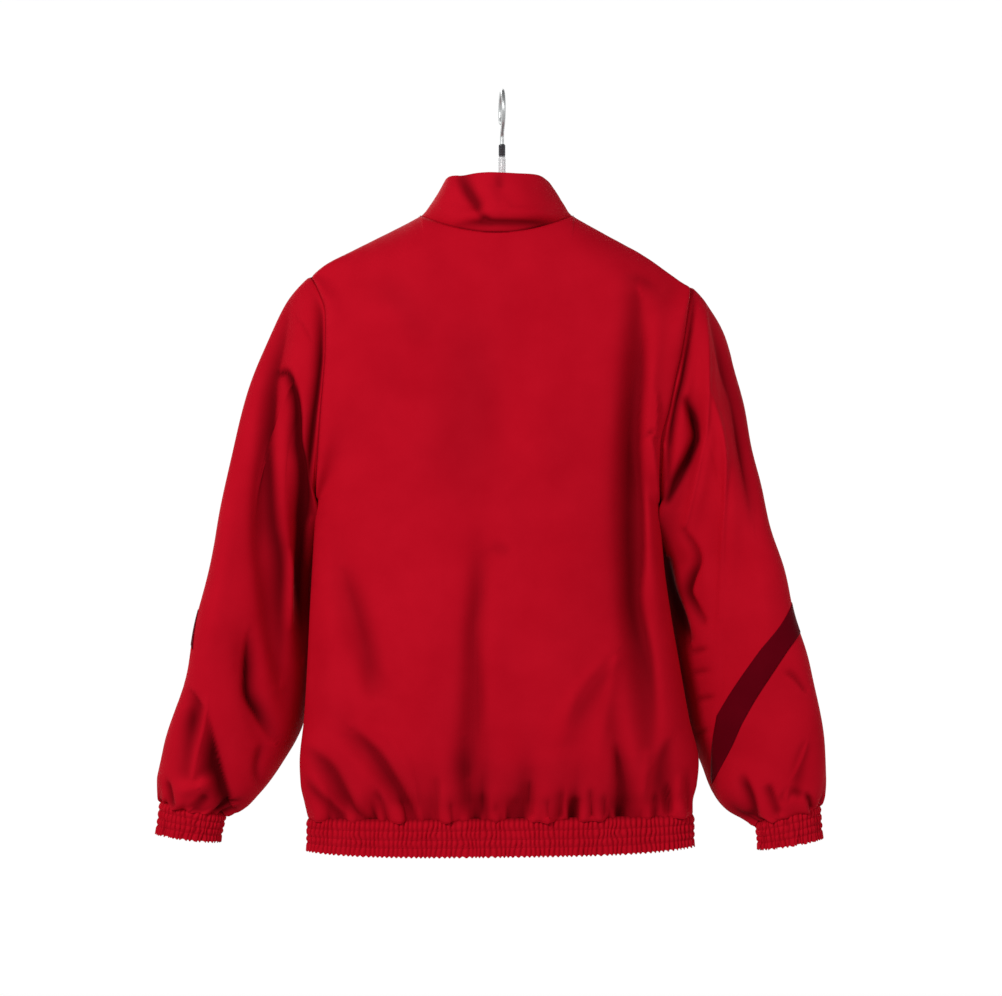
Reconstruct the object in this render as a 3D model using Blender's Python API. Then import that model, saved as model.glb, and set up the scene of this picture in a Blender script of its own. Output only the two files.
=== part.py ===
"""A zip-front track jacket on a clothes hanger, in metres, +Z up.

The jacket's front faces -Y and its back +Y. +X is the wearer's left. The origin is where the
hanger's hook bears on the rail. Each cut piece of cloth is a closed wall made from a grid of
points: rows run down the jacket, columns run round it.
"""

import math

import bmesh
import bpy
import numpy as np
from mathutils import Matrix, Vector

# Cloth and seams
WALL = 0.0012
SEAM = 0.0003

# Neck seam, seen from above an ellipse round the hanger's neck
NECK_X = 0.006
NECK_Y = -0.012
NECK_HALF_WIDTH = 0.086
NECK_BACK_REACH = 0.060
NECK_FRONT_REACH = 0.054
NECK_SIDE_Z = -0.1362
NECK_BACK_DROP = 0.0234
NECK_FRONT_DROP = 0.077

# Collar
COLLAR_TOP_HALF_WIDTH = 0.0600
COLLAR_TOP_BACK_Y = 0.0450
COLLAR_TOP_FRONT_Y = -0.0600
COLLAR_TOP_BACK_Z = -0.0940
COLLAR_TOP_FRONT_DROP = 0.0560
COLLAR_SIDE_DROP = 0.0040
COLLAR_BULGE = 0.0030
COLLAR_ROWS = (1.0, 0.66, 0.33, 0.0)

# Shoulders
SHOULDER_Y = -0.005
SHOULDER_ROUND = 0.055
SHOULDER_LINE = (
    # distance from the middle of the neck, left height, right height
    (0.086, -0.1362, -0.1362),
    (0.110, -0.1490, -0.1500),
    (0.132, -0.1600, -0.1622),
    (0.164, -0.1760, -0.1800),
    (0.192, -0.1905, -0.1995),
    (0.210, -0.2050, -0.2120),
    (0.219, -0.2125, -0.2165),
)

# Armholes: each is a loop from the shoulder tip down the back to the underarm and up the front
ARM_TOP_Z = {"left": -0.2050, "right": -0.2165}
UNDERARM_Z = {"left": -0.4550, "right": -0.4600}
ARMHOLE_BACK_REACH = 0.045
ARMHOLE_FRONT_REACH = -0.045
ARM_STEPS = 12
SOFT_ARMHOLE_POWER = 2.0
ARMHOLE_FELT_POWER = 10
SHOULDER_TIP_POWER = 8

# Body
CENTRE_TOP_X = 0.006
CENTRE_HEM_X = 0.0022
CENTRE_TOP_Z = -0.20
HEM_MIDDLE_Z = -0.8118
HEM_SLOPE = -0.0107
SECTION_POWER = 2.6
EDGE_LINE = (
    # height, left edge, right edge of the panels as seen from behind
    (-0.205, 0.2155, -0.2125),
    (-0.220, 0.2070, -0.2118),
    (-0.250, 0.1968, -0.2070),
    (-0.290, 0.1962, -0.2000),
    (-0.320, 0.1980, -0.1928),
    (-0.355, 0.2010, -0.1856),
    (-0.395, 0.2043, -0.1765),
    (-0.425, 0.2067, -0.1758),
    (-0.466, 0.2100, -0.1781),
    (-0.530, 0.2139, -0.1831),
    (-0.580, 0.2167, -0.1900),
    (-0.640, 0.2195, -0.2003),
    (-0.700, 0.2231, -0.2110),
    (-0.750, 0.2280, -0.2218),
    (-0.775, 0.2268, -0.2195),
    (-0.795, 0.2225, -0.2150),
    (-0.817, 0.2173, -0.2152),
)
BODY_DEPTH = (
    # height, reach of the back, reach of the front
    (-0.130, 0.050, 0.044),
    (-0.200, 0.056, 0.058),
    (-0.280, 0.062, 0.068),
    (-0.400, 0.067, 0.076),
    (-0.550, 0.073, 0.082),
    (-0.680, 0.076, 0.084),
    (-0.735, 0.073, 0.079),
    (-0.775, 0.060, 0.065),
    (-0.800, 0.046, 0.049),
    (-0.818, 0.039, 0.041),
)
NECK_COLUMNS = (0.0, 0.18, 0.36, 0.54, 0.70, 0.84, 0.94, 1.0)
SHOULDER_COLUMNS = 8
EDGE_CALM = 0.12
SEAM_CALM = 0.050
HEM_CALM = 0.06
SIDE_ROWS = (0.10, 0.21, 0.32, 0.43, 0.54, 0.64, 0.73, 0.81, 0.88, 0.935, 0.975, 1.0)

# Waistband
WAIST_HEIGHT = 0.0385
WAIST_CORNER_LIFT = 0.005
WAIST_GATHERS = 116
WAIST_RIPPLE = 0.0011
TOP_RIPPLE_SHARE = 0.6

# Sleeves: rings from the outer end of the ring to its inner end, seen from behind
SLEEVE_RINGS = {
    "left": (
        # outer x, outer z, inner x, inner z, middle y, half depth, lean of the inner end
        (0.3185, -0.5000, 0.2068, -0.5350, -0.016, 0.046, 0.034),
        (0.3295, -0.5450, 0.2092, -0.5800, -0.016, 0.047, 0.034),
        (0.3397, -0.5900, 0.2114, -0.6220, -0.016, 0.048, 0.034),
        (0.3505, -0.6400, 0.2158, -0.6680, -0.016, 0.048, 0.030),
        (0.3646, -0.6900, 0.2262, -0.7120, -0.016, 0.048, 0.022),
        (0.3790, -0.7350, 0.2480, -0.7500, -0.015, 0.046, 0.014),
        (0.3876, -0.7700, 0.2700, -0.7830, -0.014, 0.041, 0.008),
        (0.3868, -0.7880, 0.2920, -0.8030, -0.013, 0.034, 0.004),
        (0.3842, -0.7950, 0.3105, -0.8105, -0.012, 0.027, 0.000),
    ),
    "right": (
        (-0.3033, -0.5000, -0.1755, -0.5350, -0.016, 0.046, 0.034),
        (-0.3164, -0.5450, -0.1820, -0.5800, -0.016, 0.047, 0.034),
        (-0.3270, -0.5900, -0.1893, -0.6220, -0.016, 0.048, 0.034),
        (-0.3422, -0.6400, -0.1985, -0.6680, -0.016, 0.048, 0.032),
        (-0.3550, -0.6900, -0.2085, -0.7120, -0.018, 0.048, 0.030),
        (-0.3618, -0.7350, -0.2245, -0.7500, -0.020, 0.046, 0.024),
        (-0.3650, -0.7680, -0.2360, -0.7830, -0.016, 0.041, 0.012),
        (-0.3630, -0.7860, -0.2580, -0.8080, -0.013, 0.034, 0.006),
        (-0.3575, -0.7990, -0.2850, -0.8190, -0.012, 0.027, 0.000),
    ),
}
SLEEVE_TWIST = {
    # how far each ring is turned, in degrees, so that the seams wander as they hang
    "left": (24, 36, 46, 56, 64, 70, 76, 80, 80),
    "right": (-6, 3, 8, 19, 34, 56, 76, 84, 86),
}
SLEEVE_SQUARENESS = 0.90
HEAD_STEPS = 7
RING_STEPS = (0.0, 0.7, 1.4, 2.1, 2.8, 3.5, 4.2, 4.8, 5.4, 6.0, 6.5, 7.0, 7.5, 8.0)
HEAD_LEAVE_TOP = (0.180, 0.0, -0.150)
HEAD_LEAVE_BOTTOM = (0.060, -0.060, -0.070)
HEAD_LEAVE_SIDE = (0.140, 0.0, -0.120)
HEAD_ARRIVE = 4.6
HEAD_LOOK_AHEAD = 0.3
BACK_SEAM_COLUMN = 6
FRONT_SEAM_COLUMN = -8
SLEEVE_CALM_ROWS = 2.0

# Cuffs
CUFF_BOTTOM = {
    "left": ((0.3886, -0.8300), (0.3170, -0.8395)),
    "right": ((-0.3600, -0.8350), (-0.2880, -0.8480)),
}
CUFF_Y = -0.012
CUFF_HALF_DEPTH = 0.027
CUFF_GATHERS = 28
CUFF_RIPPLE = 0.0011

# Diagonal strips: a point on the upper edge, seen from behind, and the way that the strip runs
BAND_COLUMNS = {"left": (FRONT_SEAM_COLUMN, -2), "right": (-2, BACK_SEAM_COLUMN)}
BAND_POINT = {"left": (0.3415, -0.5712), "right": (-0.3248, -0.5835)}
BAND_RUN = {"left": (-0.507, -0.862), "right": (0.507, -0.862)}
BAND_WIDTH = 0.0262
BAND_LIFT = 0.0005
BAND_THICK = 0.0010

# Folds: troughs have a negative depth. Each runs through three points of the back view.
FOLD_SIZES = ("x0", "z0", "x1", "z1", "x2", "z2", "half_width", "depth")
BACK_FOLDS = (
    (-0.1523, -0.244, -0.1400, -0.456, -0.1669, -0.735, 0.015, -0.012),
    (-0.1714, -0.265, -0.1635, -0.433, -0.1770, -0.568, 0.010, 0.006),
    (0.0213, -0.510, 0.0314, -0.657, 0.0347, -0.818, 0.013, -0.008),
    (0.1803, -0.528, 0.1624, -0.601, 0.1310, -0.680, 0.015, -0.007),
    (0.1725, -0.713, 0.1277, -0.764, 0.0974, -0.812, 0.011, -0.008),
    (0.2050, -0.753, 0.1758, -0.788, 0.1523, -0.812, 0.009, -0.005),
    (-0.1254, -0.629, -0.0930, -0.663, -0.0650, -0.725, 0.012, 0.006),
    (-0.1232, -0.680, -0.1322, -0.747, -0.1378, -0.810, 0.012, -0.007),
    (-0.0314, -0.747, -0.0319, -0.780, -0.0325, -0.812, 0.010, -0.005),
)
FRONT_FOLDS = (
    (0.1500, -0.260, 0.1380, -0.450, 0.1600, -0.720, 0.015, -0.010),
    (-0.1450, -0.280, -0.1330, -0.480, -0.1500, -0.740, 0.015, -0.011),
    (0.0700, -0.600, 0.0840, -0.700, 0.0900, -0.812, 0.013, -0.007),
    (-0.0600, -0.560, -0.0760, -0.690, -0.0820, -0.812, 0.013, -0.007),
    (0.1850, -0.700, 0.1500, -0.760, 0.1250, -0.812, 0.011, -0.006),
    (-0.1800, -0.690, -0.1480, -0.750, -0.1200, -0.812, 0.011, -0.006),
)
SLEEVE_FOLDS = {
    "left": (
        (0.2352, -0.240, 0.2621, -0.389, 0.2420, -0.666, 0.011, -0.009),
        (0.2400, -0.380, 0.2420, -0.470, 0.2330, -0.580, 0.009, 0.005),
        (0.2856, -0.612, 0.2800, -0.669, 0.2632, -0.730, 0.012, -0.006),
        (0.3472, -0.666, 0.3237, -0.725, 0.3035, -0.792, 0.012, -0.008),
    ),
    "right": (
        (-0.2130, -0.330, -0.2150, -0.390, -0.1950, -0.470, 0.011, -0.009),
        (-0.2274, -0.253, -0.2262, -0.377, -0.2060, -0.500, 0.010, 0.006),
        (-0.2330, -0.333, -0.2453, -0.389, -0.2460, -0.590, 0.009, 0.004),
        (-0.2400, -0.273, -0.2600, -0.364, -0.2790, -0.467, 0.012, -0.007),
    ),
}

# Zip
ZIP_GAP = 0.0045
CHAIN_HALF_WIDTH = 0.0027
CHAIN_PROUD = 0.0006
CHAIN_THICK = 0.0028
CHAIN_TOP_Z = -0.1560
TAPE_INNER_X = 0.0030
TAPE_OUTER_X = 0.0120
TAPE_THICK = 0.0010
TAPE_END = 0.001
SLIDER_Z = -0.1595
ZIP_BOX_HEIGHT = 0.009
SLIDER_HALF_WIDTH = 0.0050
SLIDER_HALF_LENGTH = 0.0070
PLATE = 0.0012
CROWN_HALF_WIDTH = 0.0012
CROWN_BOTTOM = -0.0045
CROWN_TOP = 0.0031
CROWN_REACH = 0.0059
CROWN_WIRE = 0.0010
POST_BOTTOM = 0.0040
POST_TOP = 0.0068
SINK = 0.0002
PULL_AXIS_UP = -0.0007
PULL_AXIS_OUT = 0.0035
PULL_HALF_WIDTH = 0.0036
PULL_HALF_THICK = 0.0008
PULL_LENGTH = 0.026
PULL_WINDOW_HALF_WIDTH = 0.0020
PULL_WINDOW_LENGTH = 0.0085
PULL_END_STEPS = 8

# Hanger
HOOK_WIRE = 0.0046
HOOK_RADIUS = 0.0220
HOOK_TIP_TURN = 218.0
HOOK_FOOT_TURN = -48.0
HOOK_STEPS = 18
HOOK_LEAVE = 0.020
SHANK_ARRIVE = 0.018
SHANK_STEPS = 5
HOOK_YAW = 85.0
HOOK_SHANK_TOP_Z = -0.0500
FERRULE_TOP_Z = -0.0575
FERRULE_BOTTOM_Z = -0.0712
FERRULE_RADIUS = 0.0038
FERRULE_TOP_RADIUS = 0.0031
FERRULE_FOOT_RADIUS = 0.0034
FERRULE_ROUND = 0.0012
NECK_POST_RADIUS = 0.0040
NECK_POST_FOOT_RADIUS = 0.0050
NECK_POST_FLARE = 0.012
NECK_POST_SINK = 0.004
ARM_REACH_LEFT = 0.2010
ARM_REACH_RIGHT = -0.1980
ARM_CLEARANCE = 0.0006
NECK_SIDE_ROOM = 0.0018
NECK_SIDE_RUN = 0.020
ARM_SAG_POWER = 1.6
ARM_END_SLIM = 0.45
ARM_END_POWER = 6
ARM_HALF_DEPTH = 0.0055
ARM_HALF_HEIGHT = 0.0085
ARM_RINGS = 18
ARM_SIDES = 12
HANGER_MIDDLE_Z = -0.1130

RED = (0.55, 0.006, 0.018, 1.0)
MAROON = (0.11, 0.002, 0.006, 1.0)
STEEL = (0.62, 0.62, 0.64, 1.0)
DARK_STEEL = (0.12, 0.12, 0.13, 1.0)
CLEAR = (0.85, 0.86, 0.87, 1.0)


def curve_at(knots, values, at):
    """Values on a smooth curve through the knots, which never overshoots them."""
    knots = np.asarray(knots, float)
    values = np.asarray(values, float)
    if knots[0] > knots[-1]:
        knots = knots[::-1]
        values = values[::-1]
    step = np.diff(knots)
    rise = np.diff(values) / step
    slope = np.zeros_like(values)
    slope[0] = rise[0]
    slope[-1] = rise[-1]
    for k in range(1, len(knots) - 1):
        if rise[k - 1] * rise[k] > 0:
            before = 2 * step[k] + step[k - 1]
            after = step[k] + 2 * step[k - 1]
            slope[k] = (before + after) / (before / rise[k - 1] + after / rise[k])
    at = np.clip(np.asarray(at, float), knots[0], knots[-1])
    k = np.clip(np.searchsorted(knots, at) - 1, 0, len(step) - 1)
    t = (at - knots[k]) / step[k]
    start = (1 + 2 * t) * (1 - t) ** 2 * values[k] + t * (1 - t) ** 2 * step[k] * slope[k]
    end = t**2 * (3 - 2 * t) * values[k + 1] + t**2 * (t - 1) * step[k] * slope[k + 1]
    return start + end


def column(table, place):
    return [row[place] for row in table]


def centre_x(z):
    """The line down the middle of the fronts."""
    share = np.clip((CENTRE_TOP_Z - z) / (CENTRE_TOP_Z - HEM_MIDDLE_Z), 0, 1)
    return CENTRE_TOP_X + (CENTRE_HEM_X - CENTRE_TOP_X) * share


def edge_x(z, side):
    return curve_at(column(EDGE_LINE, 0), column(EDGE_LINE, 1 if side == "left" else 2), z)


def armhole_y(z, side, face, power=0.5):
    """Where the armhole's edge stands, or the side seam below it. A higher power ends it softly."""
    top = ARM_TOP_Z[side]
    bottom = UNDERARM_Z[side]
    height = np.clip((2 * z - top - bottom) / (top - bottom), -1, 1)
    reach = ARMHOLE_BACK_REACH if face == "back" else ARMHOLE_FRONT_REACH
    ease = SHOULDER_Y * np.clip(height, 0, 1) ** 2
    return ease + reach * (1 - height**2) ** power


def fold_height(x, z, folds):
    """The sum of the folds at points of the back view."""
    total = np.zeros(np.broadcast(x, z).shape)
    for row in folds:
        fold = dict(zip(FOLD_SIZES, row))
        t = (z - fold["z0"]) / (fold["z2"] - fold["z0"])
        middle = (fold["z1"] - fold["z0"]) / (fold["z2"] - fold["z0"])
        inside = np.clip(t, 0, 1)
        sag = fold["x1"] - fold["x0"] - middle * (fold["x2"] - fold["x0"])
        bend = sag / (middle * (middle - 1))
        line = fold["x0"] + inside * (fold["x2"] - fold["x0"]) + bend * inside * (inside - 1)
        lean = (fold["x2"] - fold["x0"]) / (fold["z2"] - fold["z0"])
        across = (x - line) / math.sqrt(1 + lean**2) / fold["half_width"]
        beyond = (t - inside) * abs(fold["z2"] - fold["z0"]) / (2 * fold["half_width"])
        swell = 0.35 + 0.65 * np.sin(math.pi * np.clip(inside, 0, 1)) ** 0.7
        total = total + fold["depth"] * swell * np.exp(-(across**2) - beyond**2)
    return total


def grid_normals(points, closed=False):
    """Unit normals of a grid of points, from its neighbours along and across."""
    along = np.gradient(points, axis=0)
    if closed:
        across = np.roll(points, -1, axis=1) - np.roll(points, 1, axis=1)
    else:
        across = np.gradient(points, axis=1)
    normals = np.cross(across, along)
    return normals / np.linalg.norm(normals, axis=2, keepdims=True)


def without(normals, direction):
    """The normals with their part along a direction taken out, so that a seam stays square."""
    direction = np.asarray(direction, float)
    flat = normals - (normals @ direction)[..., None] * direction
    return flat / np.linalg.norm(flat, axis=-1, keepdims=True)


def cloth_material(name, color, roughness=0.55, metallic=0.0):
    material = bpy.data.materials.new(name)
    material.use_nodes = True
    shader = material.node_tree.nodes["Principled BSDF"]
    shader.inputs["Base Color"].default_value = color
    shader.inputs["Roughness"].default_value = roughness
    shader.inputs["Metallic"].default_value = metallic
    material.diffuse_color = color
    return material


def add_object(name, mesh, material):
    mesh.materials.append(material)
    body = bpy.data.objects.new(name, mesh)
    bpy.context.scene.collection.objects.link(body)
    return body


def mesh_of(name, vertices, faces):
    mesh = bpy.data.meshes.new(name)
    mesh.from_pydata([tuple(v) for v in vertices], [], faces)
    solid = bmesh.new()
    solid.from_mesh(mesh)
    bmesh.ops.recalc_face_normals(solid, faces=solid.faces)
    if solid.calc_volume(signed=True) < 0:
        bmesh.ops.reverse_faces(solid, faces=solid.faces)
    solid.to_mesh(mesh)
    solid.free()
    mesh.shade_smooth()
    mesh.set_sharp_from_angle(angle=math.radians(50))
    return mesh


def two_triangles(places, quad):
    """Splits a four-sided face along its shorter diagonal."""
    a, b, c, d = quad
    if np.linalg.norm(places[a] - places[c]) <= np.linalg.norm(places[b] - places[d]):
        return (a, b, c), (a, c, d)
    return (a, b, d), (b, c, d)


def wall(name, points, normals, color, thickness=WALL, lift=0.0, raised=None, closed=False):
    """A closed wall: its outer points are the grid moved out by lift, its inner ones a thickness in.

    raised is added to the outer points alone, and the inside stays plain.
    """
    rows, columns = points.shape[:2]
    outer_lift = lift if raised is None else lift + raised[..., None]
    outer = points + normals * outer_lift
    inner = points + normals * (lift - thickness)
    count = rows * columns
    vertices = np.concatenate([outer.reshape(count, 3), inner.reshape(count, 3)])

    def at(row, col, layer):
        return layer * count + row * columns + col % columns

    faces = []
    spans = columns if closed else columns - 1
    for row in range(rows - 1):
        for col in range(spans):
            upper = (at(row, col, 0), at(row, col + 1, 0))
            lower = (at(row + 1, col + 1, 0), at(row + 1, col, 0))
            for triangle in two_triangles(vertices, upper + lower):
                faces.append(triangle)
                faces.append(tuple(corner + count for corner in reversed(triangle)))
    for col in range(spans):
        for row in (0, rows - 1):
            here = (at(row, col, 0), at(row, col, 1))
            beside = (at(row, col + 1, 1), at(row, col + 1, 0))
            faces.append(here + beside)
    if not closed:
        for row in range(rows - 1):
            for col in (0, columns - 1):
                here = (at(row, col, 0), at(row + 1, col, 0))
                inside = (at(row + 1, col, 1), at(row, col, 1))
                faces.append(here + inside)
    return add_object(name, mesh_of(name, vertices, faces), cloth_material(name, color))


# ---------------------------------------------------------------- body panels


def neck_curve(turn):
    """A point of the neck seam. turn is 0 at the middle of the back and pi at the zip."""
    reach = np.where(np.cos(turn) > 0, NECK_BACK_REACH, NECK_FRONT_REACH)
    drop = np.where(
        np.cos(turn) > 0,
        NECK_BACK_DROP * np.abs(np.cos(turn)) ** 2,
        NECK_FRONT_DROP * np.abs(np.cos(turn)) ** 1.4,
    )
    x = NECK_X + NECK_HALF_WIDTH * np.sin(turn)
    y = NECK_Y + reach * np.cos(turn)
    return np.stack([x, y, NECK_SIDE_Z - drop], axis=-1)


def top_edge(x, side, face):
    """The y and z of a panel's top edge: the neck seam and then the shoulder seam."""
    away = np.abs(x - NECK_X)
    turn = np.arcsin(np.clip((x - NECK_X) / NECK_HALF_WIDTH, -1, 1))
    neck = neck_curve(turn if face == "back" else math.pi - turn)
    line = column(SHOULDER_LINE, 1 if side == "left" else 2)
    shoulder_z = curve_at(column(SHOULDER_LINE, 0), line, away)
    share = np.clip((away - NECK_HALF_WIDTH) / 0.1, 0, 1)
    seam = SEAM / 2 if face == "back" else -SEAM / 2
    shoulder_y = NECK_Y + (SHOULDER_Y - NECK_Y) * share + seam
    on_neck = away < NECK_HALF_WIDTH - 1e-9
    return np.where(on_neck, neck[..., 1], shoulder_y), np.where(on_neck, neck[..., 2], shoulder_z)


def section_y(share, z, edge, face):
    """The depth of the body, share of the way from its middle line to its edge, before any folds."""
    reach = curve_at(column(BODY_DEPTH, 0), column(BODY_DEPTH, 1 if face == "back" else 2), z)
    sign = 1 if face == "back" else -1
    return edge + (sign * reach - edge) * np.sqrt(1 - np.clip(share, 0, 1) ** SECTION_POWER)


def middle_gap(face):
    return ZIP_GAP if face == "front" else 0.0


def neck_shares(face):
    """Where the columns cross the neck seam, as shares of its half width."""
    gap = middle_gap(face) / NECK_HALF_WIDTH
    return gap + np.array(NECK_COLUMNS) * (1 - gap)


def column_places(side, face):
    """How far each column starts from the middle line, along the panel's top edge."""
    width = abs(edge_x(ARM_TOP_Z[side], side) - CENTRE_TOP_X)
    neck = neck_shares(face) * NECK_HALF_WIDTH
    rest = np.linspace(NECK_HALF_WIDTH, width, SHOULDER_COLUMNS + 1)
    return np.concatenate([neck, rest[1:]])


def row_heights(side):
    """The heights of the rows at a panel's edge, and how far each follows the shoulder line."""
    turn = np.linspace(0, math.pi, ARM_STEPS + 1)
    top = ARM_TOP_Z[side]
    bottom = UNDERARM_Z[side]
    arm = (top + bottom) / 2 + (top - bottom) / 2 * np.cos(turn)
    hem = HEM_MIDDLE_Z + HEM_SLOPE * edge_x(HEM_MIDDLE_Z, side)
    below = bottom + (hem - bottom) * np.array(SIDE_ROWS)
    follow = np.concatenate([(1 + np.cos(turn)) / 2, np.zeros(len(SIDE_ROWS))])
    return np.concatenate([arm, below]), follow


def half_body(side, face):
    """The grid of half a body face, from its middle line out to its side edge."""
    out = 1 if side == "left" else -1
    sign = 1 if face == "back" else -1
    gap = middle_gap(face)
    heights, follow = row_heights(side)
    places = column_places(side, face)
    shares = (places - gap) / (places[-1] - gap)
    top_y, top_z = top_edge(CENTRE_TOP_X + out * places, side, face)
    ramp = np.concatenate([np.zeros(ARM_STEPS + 1), SIDE_ROWS])[:, None]
    edge = edge_x(heights, side)[:, None]
    hem_middle = centre_x(HEM_MIDDLE_Z)
    hem_x = hem_middle + shares * (edge[-1] - hem_middle)
    z = heights[:, None] + (top_z - ARM_TOP_Z[side])[None, :] * follow[:, None]
    z = z + ramp * (HEM_MIDDLE_Z + HEM_SLOPE * hem_x - heights[-1])[None, :]
    middle = centre_x(z)
    x = middle + out * gap + shares[None, :] * (edge - middle - out * gap)
    edge_y = armhole_y(heights, side, face)[:, None] + sign * SEAM / 2
    soft_y = armhole_y(heights, side, face, SOFT_ARMHOLE_POWER)[:, None] + sign * SEAM / 2
    across = (x - middle) / (edge - middle)
    y = section_y(across, z, soft_y, face) + (edge_y - soft_y) * across**ARMHOLE_FELT_POWER
    fall = np.clip((top_z[None, :] - z) / SHOULDER_ROUND, 0, 1)
    round_over = np.sqrt(1 - (1 - fall) ** 2)
    round_over = round_over + (1 - round_over) * shares[None, :] ** SHOULDER_TIP_POWER
    round_over[0] = 0
    y = top_y[None, :] + (y - top_y[None, :]) * round_over
    folds = BACK_FOLDS if face == "back" else FRONT_FOLDS
    calm = np.clip((1 - shares) / EDGE_CALM, 0, 1)[None, :]
    calm = calm * np.clip((top_z[None, :] - z) / SEAM_CALM, 0, 1)
    calm = calm * np.clip((1 - ramp) / HEM_CALM, 0, 1)
    if face == "front":
        calm = calm * np.clip(shares / EDGE_CALM, 0, 1)[None, :]
    y = y + sign * calm * fold_height(x, z, folds)
    return np.stack([x, y, z], axis=-1)


def square_edges(normals, side):
    """Keeps a panel's wall square to its side seam, and inside its armhole."""
    out = 1 if side == "left" else -1
    edge = normals[:, -1]
    edge[:, 0] = out * np.maximum(out * edge[:, 0], 0)
    edge[0] = (0, 0, 1)
    edge[ARM_STEPS:] = without(edge[ARM_STEPS:], (0, 1, 0))
    normals[:, -1] = edge / np.linalg.norm(edge, axis=1, keepdims=True)
    return normals


def body_normals(points, side, face):
    """Normals of half a panel that face out, square at its shoulder, neck and hem seams."""
    normals = grid_normals(points)
    sign = 1 if face == "back" else -1
    if np.mean(normals[..., 1]) * sign < 0:
        normals = -normals
    neck_side = len(NECK_COLUMNS) - 1
    normals[0, :neck_side] = without(normals[0, :neck_side], (0, 0, 1))
    normals[0, neck_side:] = without(normals[0, neck_side:], (0, 1, 0))
    normals[-1] = without(normals[-1], (0, 0, 1))
    normals[:, 0] = without(normals[:, 0], (1, 0, 0))
    return square_edges(normals, side)


def make_back():
    left = half_body("left", "back")
    right = half_body("right", "back")
    left_normals = body_normals(left, "left", "back")
    right_normals = body_normals(right, "right", "back")
    middle = (left[:, :1] + right[:, :1]) / 2
    middle_normals = left_normals[:, :1] + right_normals[:, :1]
    middle_normals /= np.linalg.norm(middle_normals, axis=2, keepdims=True)
    points = np.concatenate([right[:, :0:-1], middle, left[:, 1:]], axis=1)
    normals = np.concatenate([right_normals[:, :0:-1], middle_normals, left_normals[:, 1:]], axis=1)
    return wall("back", points, normals, RED)


def front_grid(side):
    """A front panel's grid, with its first column at the zip."""
    points = half_body(side, "front")
    return points, body_normals(points, side, "front")


def make_fronts():
    for side in ("left", "right"):
        points, normals = front_grid(side)
        wall("front_" + side, points, normals, RED)


# ---------------------------------------------------------------- sleeves


def ring_point(side, place, turn):
    """A point of the sleeve below its head, place rings down, turn round from the outer end."""
    table = np.array(SLEEVE_RINGS[side])
    at = np.arange(len(table))
    outer_x, outer_z, inner_x, inner_z, middle_y, half_depth, lean = (
        curve_at(at, table[:, k], place) for k in range(table.shape[1])
    )
    cos = np.sign(np.cos(turn)) * np.abs(np.cos(turn)) ** SLEEVE_SQUARENESS
    sin = np.sign(np.sin(turn)) * np.abs(np.sin(turn)) ** SLEEVE_SQUARENESS
    x = (outer_x + inner_x) / 2 + (outer_x - inner_x) / 2 * cos
    z = (outer_z + inner_z) / 2 + (outer_z - inner_z) / 2 * cos
    return np.stack([x, middle_y + half_depth * sin + lean * cos, z], axis=-1)


def twisted(side, place, turn):
    """Where round the ring a column lies, when it started at a given turn of the armhole."""
    twist = SLEEVE_TWIST[side]
    return turn + math.radians(float(curve_at(np.arange(len(twist)), twist, place)))


def head_start(side, turn):
    """The armhole's loop, a seam's gap outside the body's edge."""
    top = ARM_TOP_Z[side]
    bottom = UNDERARM_Z[side]
    z = (top + bottom) / 2 + (top - bottom) / 2 * np.cos(turn)
    back = armhole_y(z, side, "back")
    front = armhole_y(z, side, "front")
    out = 1 if side == "left" else -1
    y = np.where(np.sin(turn) > 0, back, front)
    return np.stack([edge_x(z, side) + out * SEAM, y, z], axis=-1)


def sleeve_grid(side):
    """The whole sleeve's grid, all round, from the armhole to the cuff seam."""
    turn = np.arange(2 * ARM_STEPS) * math.pi / ARM_STEPS
    out = np.array([1 if side == "left" else -1, 1, 1])
    start = head_start(side, turn)
    end = ring_point(side, 0.0, twisted(side, 0.0, turn))
    ahead = ring_point(side, HEAD_LOOK_AHEAD, twisted(side, HEAD_LOOK_AHEAD, turn))
    arrive = (ahead - end) / HEAD_LOOK_AHEAD * HEAD_ARRIVE
    across = np.abs(np.sin(turn))[:, None] ** 1.5
    up = np.clip(np.cos(turn), 0, 1)[:, None]
    down = np.clip(-np.cos(turn), 0, 1)[:, None]
    leave = up * np.array(HEAD_LEAVE_TOP) + down * np.array(HEAD_LEAVE_BOTTOM)
    leave = (leave * (1 - across) + across * np.array(HEAD_LEAVE_SIDE)) * out
    length = np.linalg.norm(end - start, axis=1, keepdims=True)
    arrive = arrive * length / np.linalg.norm(arrive, axis=1, keepdims=True)
    rows = []
    turns = []
    for step in range(HEAD_STEPS):
        t = step / HEAD_STEPS
        turns.append(twisted(side, 0.0, turn) * t + turn * (1 - t))
        rows.append(
            (1 + 2 * t) * (1 - t) ** 2 * start
            + t * (1 - t) ** 2 * leave
            + t**2 * (3 - 2 * t) * end
            + t**2 * (t - 1) * arrive
        )
    for place in RING_STEPS:
        turns.append(twisted(side, place, turn))
        rows.append(ring_point(side, place, turns[-1]))
    points = np.array(rows)
    normals = sleeve_normals(points)
    facing = np.clip(np.sin(np.array(turns)), 0, 1) ** 0.5
    row = np.arange(len(rows))
    calm = np.clip(row / SLEEVE_CALM_ROWS, 0, 1)
    calm = calm * np.clip((len(rows) - 1 - row) / SLEEVE_CALM_ROWS, 0, 1)
    folds = fold_height(points[..., 0], points[..., 2], SLEEVE_FOLDS[side])
    return points + normals * (facing * calm[:, None] * folds)[..., None]


def sleeve_normals(points):
    normals = grid_normals(points, closed=True)
    middle = points.mean(axis=1, keepdims=True)
    if np.mean(np.sum(normals * (points - middle), axis=2)) < 0:
        normals = -normals
    return normals


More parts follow.
